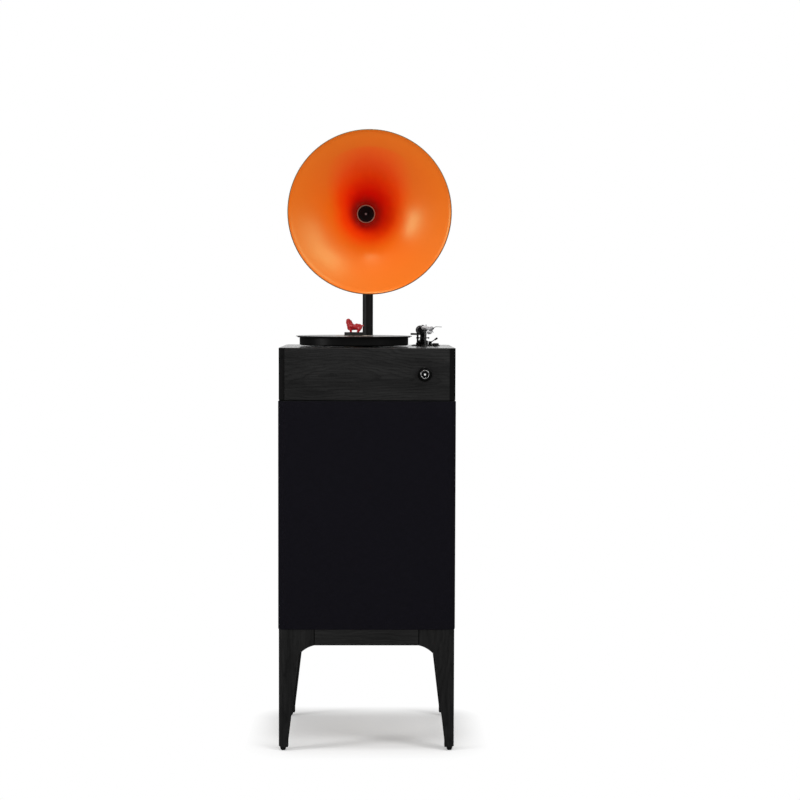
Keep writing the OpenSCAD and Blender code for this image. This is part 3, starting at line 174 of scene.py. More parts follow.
def ash(name, order, sides=False, pale=1.0):
    """Black stained open-pored ash, with the grain along the first letter of order.

    With sides, the grain turns with the face, the corner posts are darker with painted shade of the rounded
    corners, and the top is smoother and paler with painted light.
    """
    g = Graph(name, Specular_IOR_Level=0.22 if sides else 0.32)
    v = g.coords(order=order)
    turn = g.split(g.add("NewGeometry").outputs["Normal"])
    post = 0.0
    if sides:
        v = g.mix(g.span(g.math("ABSOLUTE", turn[0]), 0.68, 0.72), v, g.coords(order="YXZ"))
        # Upright corner posts, with their own upright grain and painted shade of the rounded corners
        spot = g.split(g.coords())
        x, y = (g.math("GREATER_THAN", g.math("ABSOLUTE", spot[i]), w / 2000 - 0.0155)
                for i, w in ((0, WIDE), (1, DEEP)))
        post = g.times(g.times(x, y), g.math("LESS_THAN", turn[2], 0.5))
        v = g.mix(post, v, g.coords(order="ZXY"))
    s = g.split(v)
    sway = g.times(g.math("SUBTRACT", g.noise(g.scaled(v, (2.6, 7, 7)), 1.0, 3, 0.55), 0.5), 0.11)
    shake = g.noise(g.scaled(v, (30, 90, 90)), 1.0, 2)
    sway = g.plus(sway, g.times(g.math("SUBTRACT", shake, 0.5), 0.004))
    # Growth rings of a flat-sawn board: a cone round the grain, cut near its side
    heart = g.add("CombineXYZ", {0: g.times(g.plus(s[0], 0.10), 0.10),
                                 1: g.plus(s[1], 0.215 if order == "XYZ" else 0.2),
                                 2: g.plus(g.plus(s[2], sway), -HOUSE_LO.z / 1000 - 0.055)}).outputs[0]
    r = g.add("VectorMath", {0: heart}, operation="LENGTH").outputs["Value"]
    rings_per_metre = 150
    ring = g.math("FRACT", g.times(g.plus(r, g.times(sway, 0.25)), rings_per_metre))
    late = g.ramp(ring, (0.0, 1.0), (0.10, 0.15), (0.55, 0.0), (0.9, 0.6), (1.0, 1.0))
    streak = g.noise(g.scaled(v, (12, 420, 420)), 1.0, 4, 0.6)
    pore = g.noise(g.scaled(v, (60, 1150, 1150)), 1.0, 2)
    pores = g.times(g.ramp(pore, (0.52, 0.0), (0.62, 1.0)), g.span(late, 0, 0.7, 0.25, 1))
    wide = g.noise(g.scaled(v, (4, 22, 22)), 1.0, 2)
    tone = g.ramp(g.plus(streak, g.times(g.math("SUBTRACT", wide, 0.5), 0.7)),
                  (0.28, shade((0.0042, 0.0042, 0.0043), pale)),
                  (0.72, shade((0.0135, 0.0135, 0.0133), pale)))
    tone = g.mix(g.times(late, 0.5), tone, (0.0022, 0.0022, 0.0023))
    tone = g.mix(g.times(pores, 0.7), tone, (0.0010, 0.0010, 0.0011))
    # Painted light: faces that look up are paler
    if sides:
        tone = g.mix(g.span(turn[2], 0.8, 0.95, 0.0, 0.25), tone, (0.030, 0.030, 0.030))
    # Painted shade: the corner posts go nearly black
    g.base(g.mix(g.times(post, 0.95), tone, (0.0004, 0.0004, 0.0005)))
    # Faces that look up are rubbed smoother than the rest
    gloss = g.span(g.plus(streak, pores), 0.3, 1.5, 0.42, 0.68)
    gloss = g.plus(gloss, g.span(turn[2], 0.8, 0.95, 0.0, -0.31))
    g.rough(g.plus(gloss, g.times(post, 0.3)))
    g.bump(g.times(pores, -1.0), 0.00025, 0.7)
    g.bump(g.plus(g.times(late, -0.5), streak), 0.00014, 0.6)
    return g.m


def speckled(name, colour, rough, grain=1.0, scale=900, depth=0.00005, spread=0.12, **values):
    """Moulded or painted surface: fine grain, soft patches and slightly uneven gloss."""
    g = Graph(name, **values)
    patch = g.noise(g.coords(), 14, 3)
    fine = g.noise(g.coords(), scale, 3)
    g.base(g.mix(patch, shade(colour, 1 - spread), shade(colour, 1 + spread)))
    g.rough(g.span(g.plus(patch, g.times(fine, 0.5)), 0.4, 1.1, rough * 0.85, min(1, rough * 1.18)))
    g.bump(fine, depth * grain, 0.6)
    return g.m


def brushed(name, colour, rough, axis="Z"):
    """Metal with fine lines that run along one axis of the object."""
    g = Graph(name, Metallic=1.0)
    along, across = 30, 2500
    line = g.noise(g.coords(scale=tuple(along if a == axis else across for a in "XYZ")), 1.0, 3)
    patch = g.noise(g.coords(), 25, 3)
    g.base(g.mix(patch, shade(colour, 0.85), shade(colour, 1.1)))
    g.rough(g.span(g.plus(line, patch), 0.6, 1.4, rough * 0.75, rough * 1.3))
    g.bump(line, 0.00001, 0.5)
    return g.m


def turned(name, colour, rough, centre, axes=(0, 1), pitch=0.0004, metal=1.0, **values):
    """Surface with fine turned rings about a line through centre, in millimetres for each of two axes."""
    g = Graph(name, Metallic=metal, **values)
    wave = g.math("SINE", g.times(g.radius(centre, axes), 2 * math.pi / pitch))
    patch = g.noise(g.coords(), 40, 3)
    g.base(g.mix(patch, shade(colour, 0.85), shade(colour, 1.15)))
    g.rough(g.span(patch, 0.3, 0.7, rough * 0.85, rough * 1.2))
    g.bump(wave, 0.000006, 0.5)
    return g.m


def vinyl():
    """Grooved record with four gaps between its tracks and a plain paper label. Radii in metres."""
    g = Graph("vinyl_grooves", Specular_IOR_Level=0.6)
    r = g.radius(SPIN)
    pitch = 0.00045
    groove = g.math("SINE", g.times(r, 2 * math.pi / pitch))
    grooved = g.times(g.span(r, 0.0575, 0.058), g.span(r, 0.1462, 0.1457))
    stops = [(start + step, k) for start in (0.17, 0.39, 0.60, 0.83)
             for step, k in ((0, 1.0), (0.006, 0.0), (0.014, 1.0))]
    cut = g.times(grooved, g.ramp(g.span(r, 0.058, 0.146), (0.0, 1.0), *stops))
    loud = g.noise(g.add("CombineXYZ", {0: g.times(r, 900)}).outputs[0], 1.0, 4)
    black = g.mix(g.times(cut, loud), (0.006, 0.006, 0.006), (0.016, 0.016, 0.017))
    label = g.span(r, 0.0502, 0.0498)
    fibre = g.noise(g.coords(), 600, 4)
    ring = g.times(g.span(r, 0.0455, 0.0457), g.span(r, 0.0467, 0.0465))
    paper = g.mix(fibre, (0.62, 0.55, 0.42), (0.72, 0.66, 0.54))
    paper = g.mix(ring, paper, (0.55, 0.09, 0.01))
    g.base(g.mix(label, black, paper))
    g.rough(g.mix(label, g.span(g.times(cut, loud), 0, 1, 0.16, 0.42), (0.7, 0.7, 0.7)))
    g.bump(g.times(groove, cut), 0.000025, 0.55)
    g.bump(g.noise(g.coords(), 6, 2), 0.0006, 0.25)
    return g.m


def woven():
    """Navy-black speaker cloth: a plain weave on the piece's own lengths in metres."""
    g = Graph("speaker_weave", Specular_IOR_Level=0.06)
    uv = g.split(g.add("TexCoord").outputs["UV"])
    pair_of_threads = 0.0014
    a, b = (g.math("SINE", g.times(uv[i], 2 * math.pi / pair_of_threads)) for i in (0, 1))
    weave = g.times(a, b)
    slubs = g.plus(g.noise(g.coords(scale=(700, 700, 90)), 1.0, 3),
                   g.noise(g.coords(scale=(60, 60, 900)), 1.0, 3))
    patch = g.noise(g.coords(), 5, 3)
    fine = g.plus(g.times(weave, 0.22), slubs)
    tone = g.ramp(g.span(fine, 0.6, 1.4), (0.0, (0.0034, 0.0031, 0.0048)), (1.0, (0.0092, 0.0084, 0.0128)))
    g.base(g.mix(g.times(patch, 0.5), tone, (0.0050, 0.0046, 0.0072)))
    g.rough(g.span(fine, 0.5, 1.5, 0.82, 1.0))
    g.bump(weave, 0.00025, 0.8)
    g.bump(slubs, 0.0003, 0.35)
    return g.m


def lacquer():
    """Orange lacquer of the horn, slightly uneven, with painted shade: it turns deep red further into the
    horn and is dark brown on the lip.

    horn_painted_shade carries how far a point is on the lip and how deep it is in the horn, both from 0 to 1.
    """
    g = Graph("orange_lacquer", Specular_IOR_Level=0.62, Specular_Tint=(0.42, 1.0, 0.42))
    v = g.coords()
    patch = g.noise(v, 9, 3)
    fine = g.noise(v, 420, 2)
    marks = g.split(g.add("Attribute", attribute_name="horn_painted_shade").outputs["Vector"])
    deep = g.plus(marks[1], g.times(g.math("SUBTRACT", patch, 0.5), 0.06))
    # Painted shade: deeper in the horn the colour goes from orange to deep red
    colour = g.ramp(deep, (0.0, (0.83, 0.152, 0.0055)), (0.29, (0.84, 0.134, 0.0038)),
                    (0.37, (0.88, 0.100, 0.0030)), (0.45, (0.90, 0.062, 0.0010)),
                    (0.64, (0.92, 0.030, 0.0006)), (1.0, (0.93, 0.010, 0.0008)))
    dust = g.noise(v, 1400, 2)
    colour = g.mix(g.ramp(dust, (0.72, 0.0), (0.8, 0.30)), colour, (0.85, 0.25, 0.05))
    # Painted shade: the lip's edge is dark brown
    g.base(g.mix(marks[0], colour, (0.13, 0.055, 0.022)))
    g.rough(g.span(g.plus(patch, fine), 0.7, 1.3, 0.28, 0.38))
    g.bump(fine, 0.00004, 0.25)
    g.bump(g.noise(v, 60, 2), 0.0002, 0.10)
    return g.m


def box_board():
    """Layered board, raw inside and black on its outer faces and edges, which is painted shade for the gap
    under the housing where its top shows.
    """
    g = Graph("box_board", Specular_IOR_Level=0.2)
    s = g.split(g.coords())
    painted = 0.016
    x, y = (g.math("GREATER_THAN", g.math("ABSOLUTE", s[i]), w / 2000 - painted)
            for i, w in ((0, WIDE), (1, DEEP)))
    z = g.math("GREATER_THAN", s[2], BOX_HI.z / 1000 - painted)
    # Painted shade: the outer faces and edges are black
    outer = g.math("MAXIMUM", g.math("MAXIMUM", x, y), z)
    grain = g.noise(g.coords(scale=(40, 400, 400)), 1.0, 4)
    raw = g.mix(grain, (0.24, 0.17, 0.10), (0.36, 0.27, 0.17))
    black = g.mix(grain, (0.006, 0.006, 0.006), (0.012, 0.012, 0.012))
    g.base(g.mix(outer, raw, black))
    g.rough(g.span(grain, 0.3, 0.7, 0.6, 0.85))
    g.bump(grain, 0.0001, 0.4)
    return g.m


def grey(k):
    return (k, k, k)


MAT = {
    # Wood, board, cloth and record
    "ash_housing": ash("ash_housing", "XYZ", sides=True, pale=1.8),
    "ash_leg": ash("ash_leg", "ZXY"),
    "ash_rail": ash("ash_rail", "XYZ", pale=1.45),
    "ash_rail_side": ash("ash_rail_side", "YXZ", pale=1.45),
    "weave": woven(),
    "vinyl": vinyl(),
    "lacquer": lacquer(),
    "box_board": box_board(),
    "board": speckled("raw_board", (0.30, 0.22, 0.14), 0.8, scale=350, depth=0.0001, spread=0.2),
    "black_board": speckled("black_board", grey(0.012), 0.6, scale=500, depth=0.0001, Specular_IOR_Level=0.3),
    # Painted shadow for the seams between legs and rails
    "groove": speckled("joint_shadow_paint", (0.0010, 0.0010, 0.0011), 0.9, Specular_IOR_Level=0.03),
    # Paint, plastic, rubber, felt and paper
    "black_paint": speckled("satin_black_paint", grey(0.008), 0.38, scale=1100, Specular_IOR_Level=0.25),
    "black_plastic": speckled("black_plastic", grey(0.012), 0.42, scale=1500, Specular_IOR_Level=0.4),
    "gloss_black": speckled("gloss_black", (0.008, 0.008, 0.009), 0.16, scale=1500, grain=0.3),
    "scale_grey": speckled("scale_grey", (0.050, 0.050, 0.052), 0.35, scale=1200),
    "pale_plastic": speckled("pale_plastic", (0.62, 0.62, 0.63), 0.35, spread=0.05),
    "lens": speckled("frosted_lens", (0.92, 0.92, 0.93), 0.25, scale=700, grain=0.3, spread=0.03),
    "puck_rubber": speckled("puck_rubber", grey(0.010), 0.55, scale=1200, depth=0.00008,
                            Specular_IOR_Level=0.3),
    "belt": speckled("belt_rubber", grey(0.015), 0.7, scale=1500),
    "felt": speckled("felt", grey(0.012), 0.95, scale=1600, depth=0.0003,
                     Specular_IOR_Level=0.1, Sheen_Weight=0.1),
    "paper": speckled("cone_paper", grey(0.020), 0.75, scale=700, depth=0.0002, Specular_IOR_Level=0.25),
    "red": speckled("red_glaze", (0.46, 0.006, 0.010), 0.30, scale=500, depth=0.00006, spread=0.2,
                    Coat_Weight=0.6, Coat_Roughness=0.12),
    "platter_paint": turned("platter_paint", grey(0.005), 0.34, SPIN, metal=0.0, pitch=0.0006,
                            Specular_IOR_Level=0.14),
    "knob_black": turned("knob_black", (0.0020, 0.0020, 0.0021), 0.32, (KNOB_SIDE, KNOB_HEIGHT), (0, 2),
                         metal=0.0, Specular_IOR_Level=0.12),
    # Wires and electrical parts
    "wire_red": speckled("wire_red", (0.55, 0.02, 0.02), 0.4),
    "wire_white": speckled("wire_white", (0.8, 0.8, 0.78), 0.4),
    "wire_blue": speckled("wire_blue", (0.03, 0.10, 0.50), 0.4),
    "wire_green": speckled("wire_green", (0.03, 0.35, 0.08), 0.4),
    "circuit": speckled("circuit_board", (0.02, 0.12, 0.04), 0.35, scale=300),
    "copper": speckled("copper_winding", (0.45, 0.20, 0.08), 0.3, Metallic=0.8),
    "brass": speckled("contact_brass", (0.75, 0.55, 0.22), 0.25, scale=800, Metallic=1.0),
    # Metals
    "black_anodised": brushed("black_anodised", grey(0.010), 0.32, "Y"),
    "silver": brushed("satin_silver", (0.72, 0.72, 0.73), 0.20, "Y"),
    "steel": brushed("zinc_steel", (0.55, 0.56, 0.58), 0.3, "Z"),
    "arm_dark": turned("arm_dark", grey(0.016), 0.30, ARM_SPOT, pitch=0.0005),
    "bright": turned("bright_ring", (0.90, 0.90, 0.91), 0.34, (KNOB_SIDE, KNOB_HEIGHT), (0, 2), pitch=0.0006),
    "bronze": turned("bronze_ring", (0.86, 0.72, 0.52), 0.42, (0, 0), pitch=0.0005, metal=0.35),
    "alloy": speckled("blasted_alloy", (0.60, 0.60, 0.61), 0.30, scale=1300, spread=0.06, Metallic=0.35),
    "post_grey": speckled("post_grey", grey(0.075), 0.35, scale=1200, Metallic=0.4),
    "glide": speckled("glide_shell", grey(0.012), 0.30, Metallic=0.5),
}
# The nodes that wear each material. Those with finer pieces below keep theirs too.
WEARS = {
    "ash_housing": ["top_housing"],
    "ash_leg": ["leg_front_left", "leg_front_right", "leg_rear_left", "leg_rear_right"],
    "ash_rail": ["rails_long"], "ash_rail_side": ["rails_side"],
    "board": ["corner_braces", "baffle"], "box_board": ["speaker_box"],
    "black_board": ["rear_panel", "housing_floor"],
    "black_paint": ["woofer_frame", "pole", "pole_flange", "swivel_head", "horn_yoke", "driver_housing",
                    "socket_plate", "counterweight"],
    "black_plastic": ["port_tube", "mains_inlet", "power_switch", "grip_screws", "selector_knob"],
    "knob_black": ["volume_knob"],
    "gloss_black": ["cartridge", "wood_screws", "anti_skate_knob"],
    "black_anodised": ["arm_base", "arm_pillar", "arm_tube", "headshell", "lift_bar", "lift_lever"],
    "post_grey": ["arm_rest"],
    "platter_paint": ["platter"], "puck_rubber": ["weight_puck"], "felt": ["slip_mat"], "vinyl": ["record"],
    "silver": ["arm_yoke", "sub_platter", "spindle"], "bright": ["knob_ring"],
    "steel": ["stand_bolts", "volume_potentiometer", "drive_motor"], "glide": ["leg_glides"],
    "bronze": ["driver_ring", "platter_bearing", "motor_pulley"], "brass": ["phono_sockets"],
    "paper": ["driver_cone", "woofer_cone"], "belt": ["drive_belt"], "circuit": ["amplifier_board"],
    "copper": ["power_transformer"], "red": ["weight_figure"], "weave": ["speaker_cloth"],
    "lacquer": ["horn"],
}
for kind, names in WEARS.items():
    for n in names:
        for s in NODES[n].material_slots:
            s.material = MAT[kind]


# ---------------------------------------------------------------- mesh helpers
def piece(name, verts, faces, mat, body, slot, where=None, sharp=35):
    """Visible piece that rides on a body; where moves its mesh into place."""
    me = bpy.data.meshes.new(name)
    me.from_pydata([tuple(v) for v in verts], [], faces)
    if where is not None:
        me.transform(where)
    bm = bmesh.new()
    bm.from_mesh(me)
    bmesh.ops.remove_doubles(bm, verts=bm.verts, dist=1e-7)
    bmesh.ops.recalc_face_normals(bm, faces=bm.faces)
    bm.to_mesh(me)
    bm.free()
    me.shade_smooth()
    me.set_sharp_from_angle(angle=math.radians(sharp))
    o = bpy.data.objects.new(name, me)
    bpy.context.scene.collection.objects.link(o)
    me.materials.append(MAT[mat])
    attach(o, body)
    return o


def spun(profile, steps=64):
    """Vertices and faces of a closed profile of (radius, height) in millimetres turned about Z."""
    n = len(profile)
    verts = [(r * math.cos(a) / 1000, r * math.sin(a) / 1000, z / 1000)
             for a in (2 * math.pi * i / steps for i in range(steps)) for r, z in profile]
    faces = []
    for i in range(steps):
        j = (i + 1) % steps
        for k in range(n):
            m = (k + 1) % n
            if profile[k][0] or profile[m][0]:
                faces.append([i * n + k, j * n + k, j * n + m, i * n + m])
    return verts, faces


# ---------------------------------------------------------------- the horn
# Radii of mouth and throat, length, how fast it flares, wall, radius of the lip, and where the throat starts
MOUTH, THROAT, LONG, FLARE, WALL, LIP, AHEAD = 206.9, 28, 230, 3, 3, 2.2, 20


def bell(t):
    """Inner radius at the share t of the horn's length."""
    return THROAT + (MOUTH - THROAT) * (math.exp(FLARE * t) - 1) / (math.exp(FLARE) - 1)


def horn_shell():
    rows, steps = 90, 256
    inner = [(bell(i / rows), AHEAD + LONG * i / rows) for i in range(rows + 1)]
    outer = []
    for i in range(rows + 1):
        t = i / rows
        k = (MOUTH - THROAT) * FLARE * math.exp(FLARE * t) / (math.exp(FLARE) - 1) / LONG
        n = math.sqrt(1 + k * k)
        if LONG * t > 5:
            outer.append((bell(t) + WALL / n, AHEAD + LONG * t - WALL * k / n))
    end = inner[-1]
    lip = [(end[0] + LIP * math.cos(a), end[1] - 0.8 + LIP * math.sin(a))
           for a in (math.radians(150 - i * 15) for i in range(19))]
    throat_lip = [(24.8, AHEAD - 4.5), (25.4, AHEAD - 1.0), (26.6, AHEAD + 0.4)]
    collar = [(THROAT + WALL + 7, AHEAD + 4), (THROAT + WALL + 7, AHEAD)]
    profile = throat_lip + inner[:-1] + lip + outer[-2::-1] + collar
    o = piece("horn_shell", *spun(profile, steps), "lacquer", "horn", "horn_orange", HORN, sharp=50)
    # Painted shade for the lacquer: the lip's edge, and the depth, which reaches further out in the upper
    # half, where less light falls
    marks = o.data.attributes.new("horn_painted_shade", "FLOAT_VECTOR", "POINT")
    back = HORN.inverted()
    for i, v in enumerate(o.data.vertices):
        p = back @ v.co * 1000
        r = math.hypot(p.x, p.y)
        edge = max(0.0, min(1.0, (r - MOUTH + 0.4) / 0.8))
        deep = max(0.0, min(1.0, 1 - (p.z - AHEAD) / LONG))
        # Painted shade: in the upper half the red reaches further out from the throat
        high = max(0.0, p.y / r) ** 1.4
        deep += high * (0.29 * min(1.0, max(0.0, deep - 0.02) / 0.07) + 0.5 * max(0.0, deep - 0.30))
        outside = r > bell((p.z - AHEAD) / LONG) + 1
        if outside:
            deep = 0.0
        marks.data[i].vector = (edge, max(0.0, min(1.0, deep)), 0)
    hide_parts("horn")


horn_shell()


# ---------------------------------------------------------------- speaker cloth
def speaker_cloth():
    """One stretched sheet round the front and sides, rolled in at its top, bottom and rear edges."""
    proud, turned_in = 1.4, 17
    w, d = WIDE / 2 + proud, DEEP / 2 + proud
    r = CORNER + proud
    path = [(w - turned_in, d)]

    def corner(cx, cy, a0, a1):
        for i in range(17):
            a = math.radians(a0 + (a1 - a0) * i / 16)
            path.append((cx + r * math.cos(a), cy + r * math.sin(a)))
    corner(w - r, d - r, 90, 0)
    path.append((w, 0))
    corner(w - r, -d + r, 0, -90)
    for x in (w / 2, 0, -w / 2):
        path.append((x, -d))
    corner(-w + r, -d + r, -90, -180)
    path.append((-w, 0))
    corner(-w + r, d - r, 180, 90)
    path.append((-w + turned_in, d))
    lo, hi = BOX_LO.z + 0.2, BOX_HI.z - 0.2
    # Rows of (inset, height), rolled in at both edges
    roll = [(1.2, 0), (0.5, 0.15), (0.1, 0.6), (0, 1.4)]
    rows = [(inset, lo + z) for inset, z in roll]
    rows += [(0, lo + (hi - lo) * i / 12) for i in range(1, 12)]
    rows += [(inset, hi - z) for inset, z in roll[::-1]]
    # Outward direction at each point of the path
    pts = [Vector(p) for p in path]
    out = []
    for i, p in enumerate(pts):
        a, b = pts[max(0, i - 1)], pts[min(len(pts) - 1, i + 1)]
        t = (b - a).normalized()
        side = Vector((-t.y, t.x))
        out.append(side if side.dot(p) > 0 else -side)
    along = [0.0]
    for a, b in zip(pts, pts[1:]):
        along.append(along[-1] + (b - a).length)
    verts, uv = [], []
    for inset, z in rows:
        for p, n, s in zip(pts, out, along):
            q = p - n * inset
            verts.append((q.x / 1000, q.y / 1000, z / 1000))
            uv.append((s / 1000, z / 1000))
    n = len(pts)
    faces = [[r0 * n + i, r0 * n + i + 1, (r0 + 1) * n + i + 1, (r0 + 1) * n + i]
             for r0 in range(len(rows) - 1) for i in range(n - 1)]
    o = piece("speaker_cloth_skin", verts, faces, "weave", "cabinet", "speaker_cloth", sharp=60)
    layer = o.data.uv_layers.new(name="metres")
    for loop in o.data.loops:
        layer.data[loop.index].uv = uv[loop.vertex_index]
    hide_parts("speaker_cloth")


speaker_cloth()

# ---------------------------------------------------------------- the animal on the record weight
def ball_row(a, ra, b, rb):
    """Seven balls from a to b, whose radii go from ra to rb."""
    a, b = Vector(a), Vector(b)
    return [(a.lerp(b, i / 6), ra + (rb - ra) * i / 6) for i in range(7)]


def animal(tall):
    """Small stocky animal with a curled mane, cast in one piece. Sizes are shares of its height."""
    balls = []
    # Head, neck and chest; belly, hump and rump
    balls += ball_row((-0.40, 0, 0.81), 0.165, (-0.23, 0, 0.42), 0.255)
    balls += ball_row((-0.44, 0, 0.84), 0.125, (-0.46, 0, 0.70), 0.110)
    balls += ball_row((-0.23, 0, 0.42), 0.255, (0.06, 0, 0.35), 0.195)
    balls += ball_row((-0.28, 0, 0.33), 0.215, (0.06, 0, 0.35), 0.195)
    balls += ball_row((0.06, 0, 0.35), 0.195, (0.38, 0, 0.36), 0.215)
    balls += ball_row((0.19, 0, 0.45), 0.185, (0.46, 0, 0.42), 0.135)
    balls += ball_row((0.55, 0, 0.46), 0.055, (0.66, 0, 0.48), 0.045)
    balls += ball_row((-0.50, 0, 0.665), 0.075, (-0.49, 0, 0.61), 0.055)
    # Legs, ears, nostrils, eyes and toes
    for y in (-1, 1):
        balls += ball_row((-0.25, y * 0.10, 0.24), 0.125, (-0.21, y * 0.125, 0.05), 0.072)
        balls += ball_row((0.37, y * 0.09, 0.26), 0.165, (0.29, y * 0.125, 0.06), 0.088)
        balls += ball_row((-0.37, y * 0.12, 0.90), 0.050, (-0.38, y * 0.15, 0.95), 0.034)
        balls.append((Vector((-0.555, y * 0.035, 0.72)), 0.028))
        balls += ball_row((-0.52, y * 0.055, 0.83), 0.030, (-0.545, y * 0.085, 0.81), 0.026)
        for k in (-1, 0, 1):
            balls.append((Vector((-0.27, y * 0.125 + k * 0.035, 0.03)), 0.030))
            balls.append((Vector((0.21, y * 0.125 + k * 0.035, 0.03)), 0.030))
    # Curls of the mane down the neck, and a ridge of curls along the back
    for row in range(7):
        t = row / 6
        c = Vector((-0.21 - 0.17 * t, 0, 0.36 + 0.44 * t))
        r = 0.245 - 0.075 * t
        count = 13 - row // 2
        for k in range(count):
            a = 2 * math.pi * (k + 0.5 * (row % 2)) / count
            out = Vector((math.cos(a), math.sin(a), 0.10))
            if out.x > -0.75 or t < 0.6:
                balls.append((c + out * r, 0.046))
    for k in range(5):
        a = math.radians(30 + 25 * k)
        balls.append((Vector((0.34 + 0.20 * math.cos(a), 0, 0.43 + 0.15 * math.sin(a))), 0.036))
    bm = bmesh.new()
    for c, r in balls:
        bmesh.ops.create_icosphere(bm, subdivisions=2, radius=r, matrix=Matrix.Translation(c))
    me = bpy.data.meshes.new("rough_animal")
    bm.to_mesh(me)
    bm.free()
    me.transform(place(*SPIN, top_of("weight_puck") - 0.2) @ Matrix.Scale(tall / 1000, 4))
    o = bpy.data.objects.new("rough_animal", me)
    bpy.context.scene.collection.objects.link(o)
    m = o.modifiers.new("melt", "REMESH")
    m.mode, m.voxel_size = "VOXEL", tall * 0.000012
    m = o.modifiers.new("soft", "SMOOTH")
    m.factor, m.iterations = 0.5, 4
    bpy.context.view_layer.update()
    done = bpy.data.meshes.new_from_object(o.evaluated_get(bpy.context.evaluated_depsgraph_get()))
    bpy.data.objects.remove(o)
    # Flat feet on the weight
    floor = top_of("weight_puck") / 1000
    verts = [Vector((v.co.x, v.co.y, max(v.co.z, floor))) for v in done.vertices]
    faces = [list(f.vertices) for f in done.polygons]
    o = piece("animal", verts, faces, "red", "record_weight", "figure_red")
    bpy.data.meshes.remove(done)
    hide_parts("weight_figure")


animal(36.5)


# ---------------------------------------------------------------- shapes, in millimetres
def disc_shape(r, h, edge=0.3, dome=0.0, cut=0.0):
    """Turned disc with rounded edges; cut is the width of a screwdriver's slot across it."""
    rim = [(r - edge + edge * math.sin(a), h - edge + edge * math.cos(a))
           for a in (math.radians(15 * i) for i in range(7))]
    top = [((r - edge) * k / 8, h + dome * (1 - (k / 8) ** 2)) for k in range(8)]
    verts, faces = spun([(0, 0)] + top + rim + [(r, 0)], 48)
    if cut:
        verts = [(x, y, z - 0.0005 if abs(y) < cut / 2000 and z > h / 2000 else z) for x, y, z in verts]
    return verts, faces


def tube_shape(points, r, steps=12):
    """Round wire through points, with closed ends."""
    pts = [Vector(p) for p in points]
    r = r if isinstance(r, (list, tuple)) else [r] * len(pts)
    verts, faces = [], []
    n = (pts[1] - pts[0]).normalized().orthogonal().normalized()
    for i, p in enumerate(pts):
        t = (pts[min(i + 1, len(pts) - 1)] - pts[max(i - 1, 0)]).normalized()
        n = (n - t * n.dot(t)).normalized()
        b = t.cross(n)
        for k in range(steps):
            a = 2 * math.pi * k / steps
            verts.append((p + (n * math.cos(a) + b * math.sin(a)) * r[i]) / 1000)
    for i in range(len(pts) - 1):
        for k in range(steps):
            j = (k + 1) % steps
            faces.append([i * steps + k, i * steps + j, (i + 1) * steps + j, (i + 1) * steps + k])
    faces += [list(range(steps))[::-1], [(len(pts) - 1) * steps + k for k in range(steps)]]
    return verts, faces


def solid_shape(points, height, bevel=0.3, z=0.0):
    """Upright prism on an outline of (x, y), with rounded edges."""
    bm = bmesh.new()
    low = [bm.verts.new((x / 1000, y / 1000, z / 1000)) for x, y in points]
    high = [bm.verts.new((x / 1000, y / 1000, (z + height) / 1000)) for x, y in points]
    bm.faces.new(low[::-1])
    bm.faces.new(high)
    for i in range(len(points)):
        j = (i + 1) % len(points)
        bm.faces.new((low[i], low[j], high[j], high[i]))
    bmesh.ops.bevel(bm, geom=bm.edges[:], offset=bevel / 1000, segments=2, affect="EDGES", profile=0.5)
    bm.verts.index_update()
    verts = [v.co.copy() for v in bm.verts]
    faces = [[v.index for v in f.verts] for f in bm.faces]
    bm.free()
    return verts, faces


def block_shape(size, bevel=0.3):
    x, y, z = (c / 2 for c in size)
    return solid_shape([(-x, -y), (x, -y), (x, y), (-x, y)], 2 * z, bevel, -z)


def at(shape, *moves):
    """The shape moved by the product of the matrices."""
    m = moves[0]
    for move in moves[1:]:
        m = m @ move
    return [m @ Vector(v) for v in shape[0]], shape[1]


def joined(name, shapes, mat, body, slot, where=None, replaces=None):
    """One piece made of several shapes."""
    verts, faces = [], []
    for v, f in shapes:
        faces += [[i + len(verts) for i in face] for face in f]
        verts += [tuple(x) for x in v]
    o = piece(name, verts, faces, mat, body, slot, where)
    if replaces:
        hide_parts(replaces)


def disc(name, r, h, mat, body, slot, where, **shape):
    joined(name, [disc_shape(r, h, **shape)], mat, body, slot, where)


# Fine dark lines at the joints between the legs' shoulders and the rails, painted shadow of the seams' narrow
# grooves
RAIL_LO, RAIL_HI = [c * 1000 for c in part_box("rails_long")]
SIDE_LO, SIDE_HI = [c * 1000 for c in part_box("rails_side")]
line_shape = block_shape((2.2, 0.12, RAIL_HI.z - RAIL_LO.z - 0.4), 0.03)
middle = (RAIL_LO.z + RAIL_HI.z) / 2
spots = [(x, y, 0) for x in (RAIL_LO.x, RAIL_HI.x) for y in (RAIL_LO.y, RAIL_HI.y)]
spots += [(x, y, 90) for x in (SIDE_LO.x, SIDE_HI.x) for y in (SIDE_LO.y, SIDE_HI.y)]
joined("joint_shadow_lines", [at(line_shape, place(x, y, middle), rot("Z", turn)) for x, y, turn in spots],
       "groove", "cabinet", "black_wood")

# The horn's driver: bronze ring that slopes inwards, its gasket, and a pale tip on its cone, a painted glint
DRIVER_FRONT = AHEAD - 6
RING_SEAT = HORN @ place(0, 0, DRIVER_FRONT + 1.2)
joined("driver_ring_skin", [spun([
    (18.5, 0), (24.5, 0), (24.5, 4.1), (24.2, 4.6), (23.6, 4.8), (22.9, 4.75), (22.2, 4.3), (21, 3.0),
    (19.6, 1.6), (18.5, 0.8)], 128)], "bronze", "horn", "ring_bronze", RING_SEAT, replaces="driver_ring")
joined("driver_gasket", [spun([
    (18.5, 0.6), (19.6, 1.4), (21, 2.8), (21.6, 3.6), (21.5, 4.1), (20.9, 3.7), (19.4, 2.3),
    (18.5, 1.6)], 96)], "felt", "horn", "driver_black", RING_SEAT)
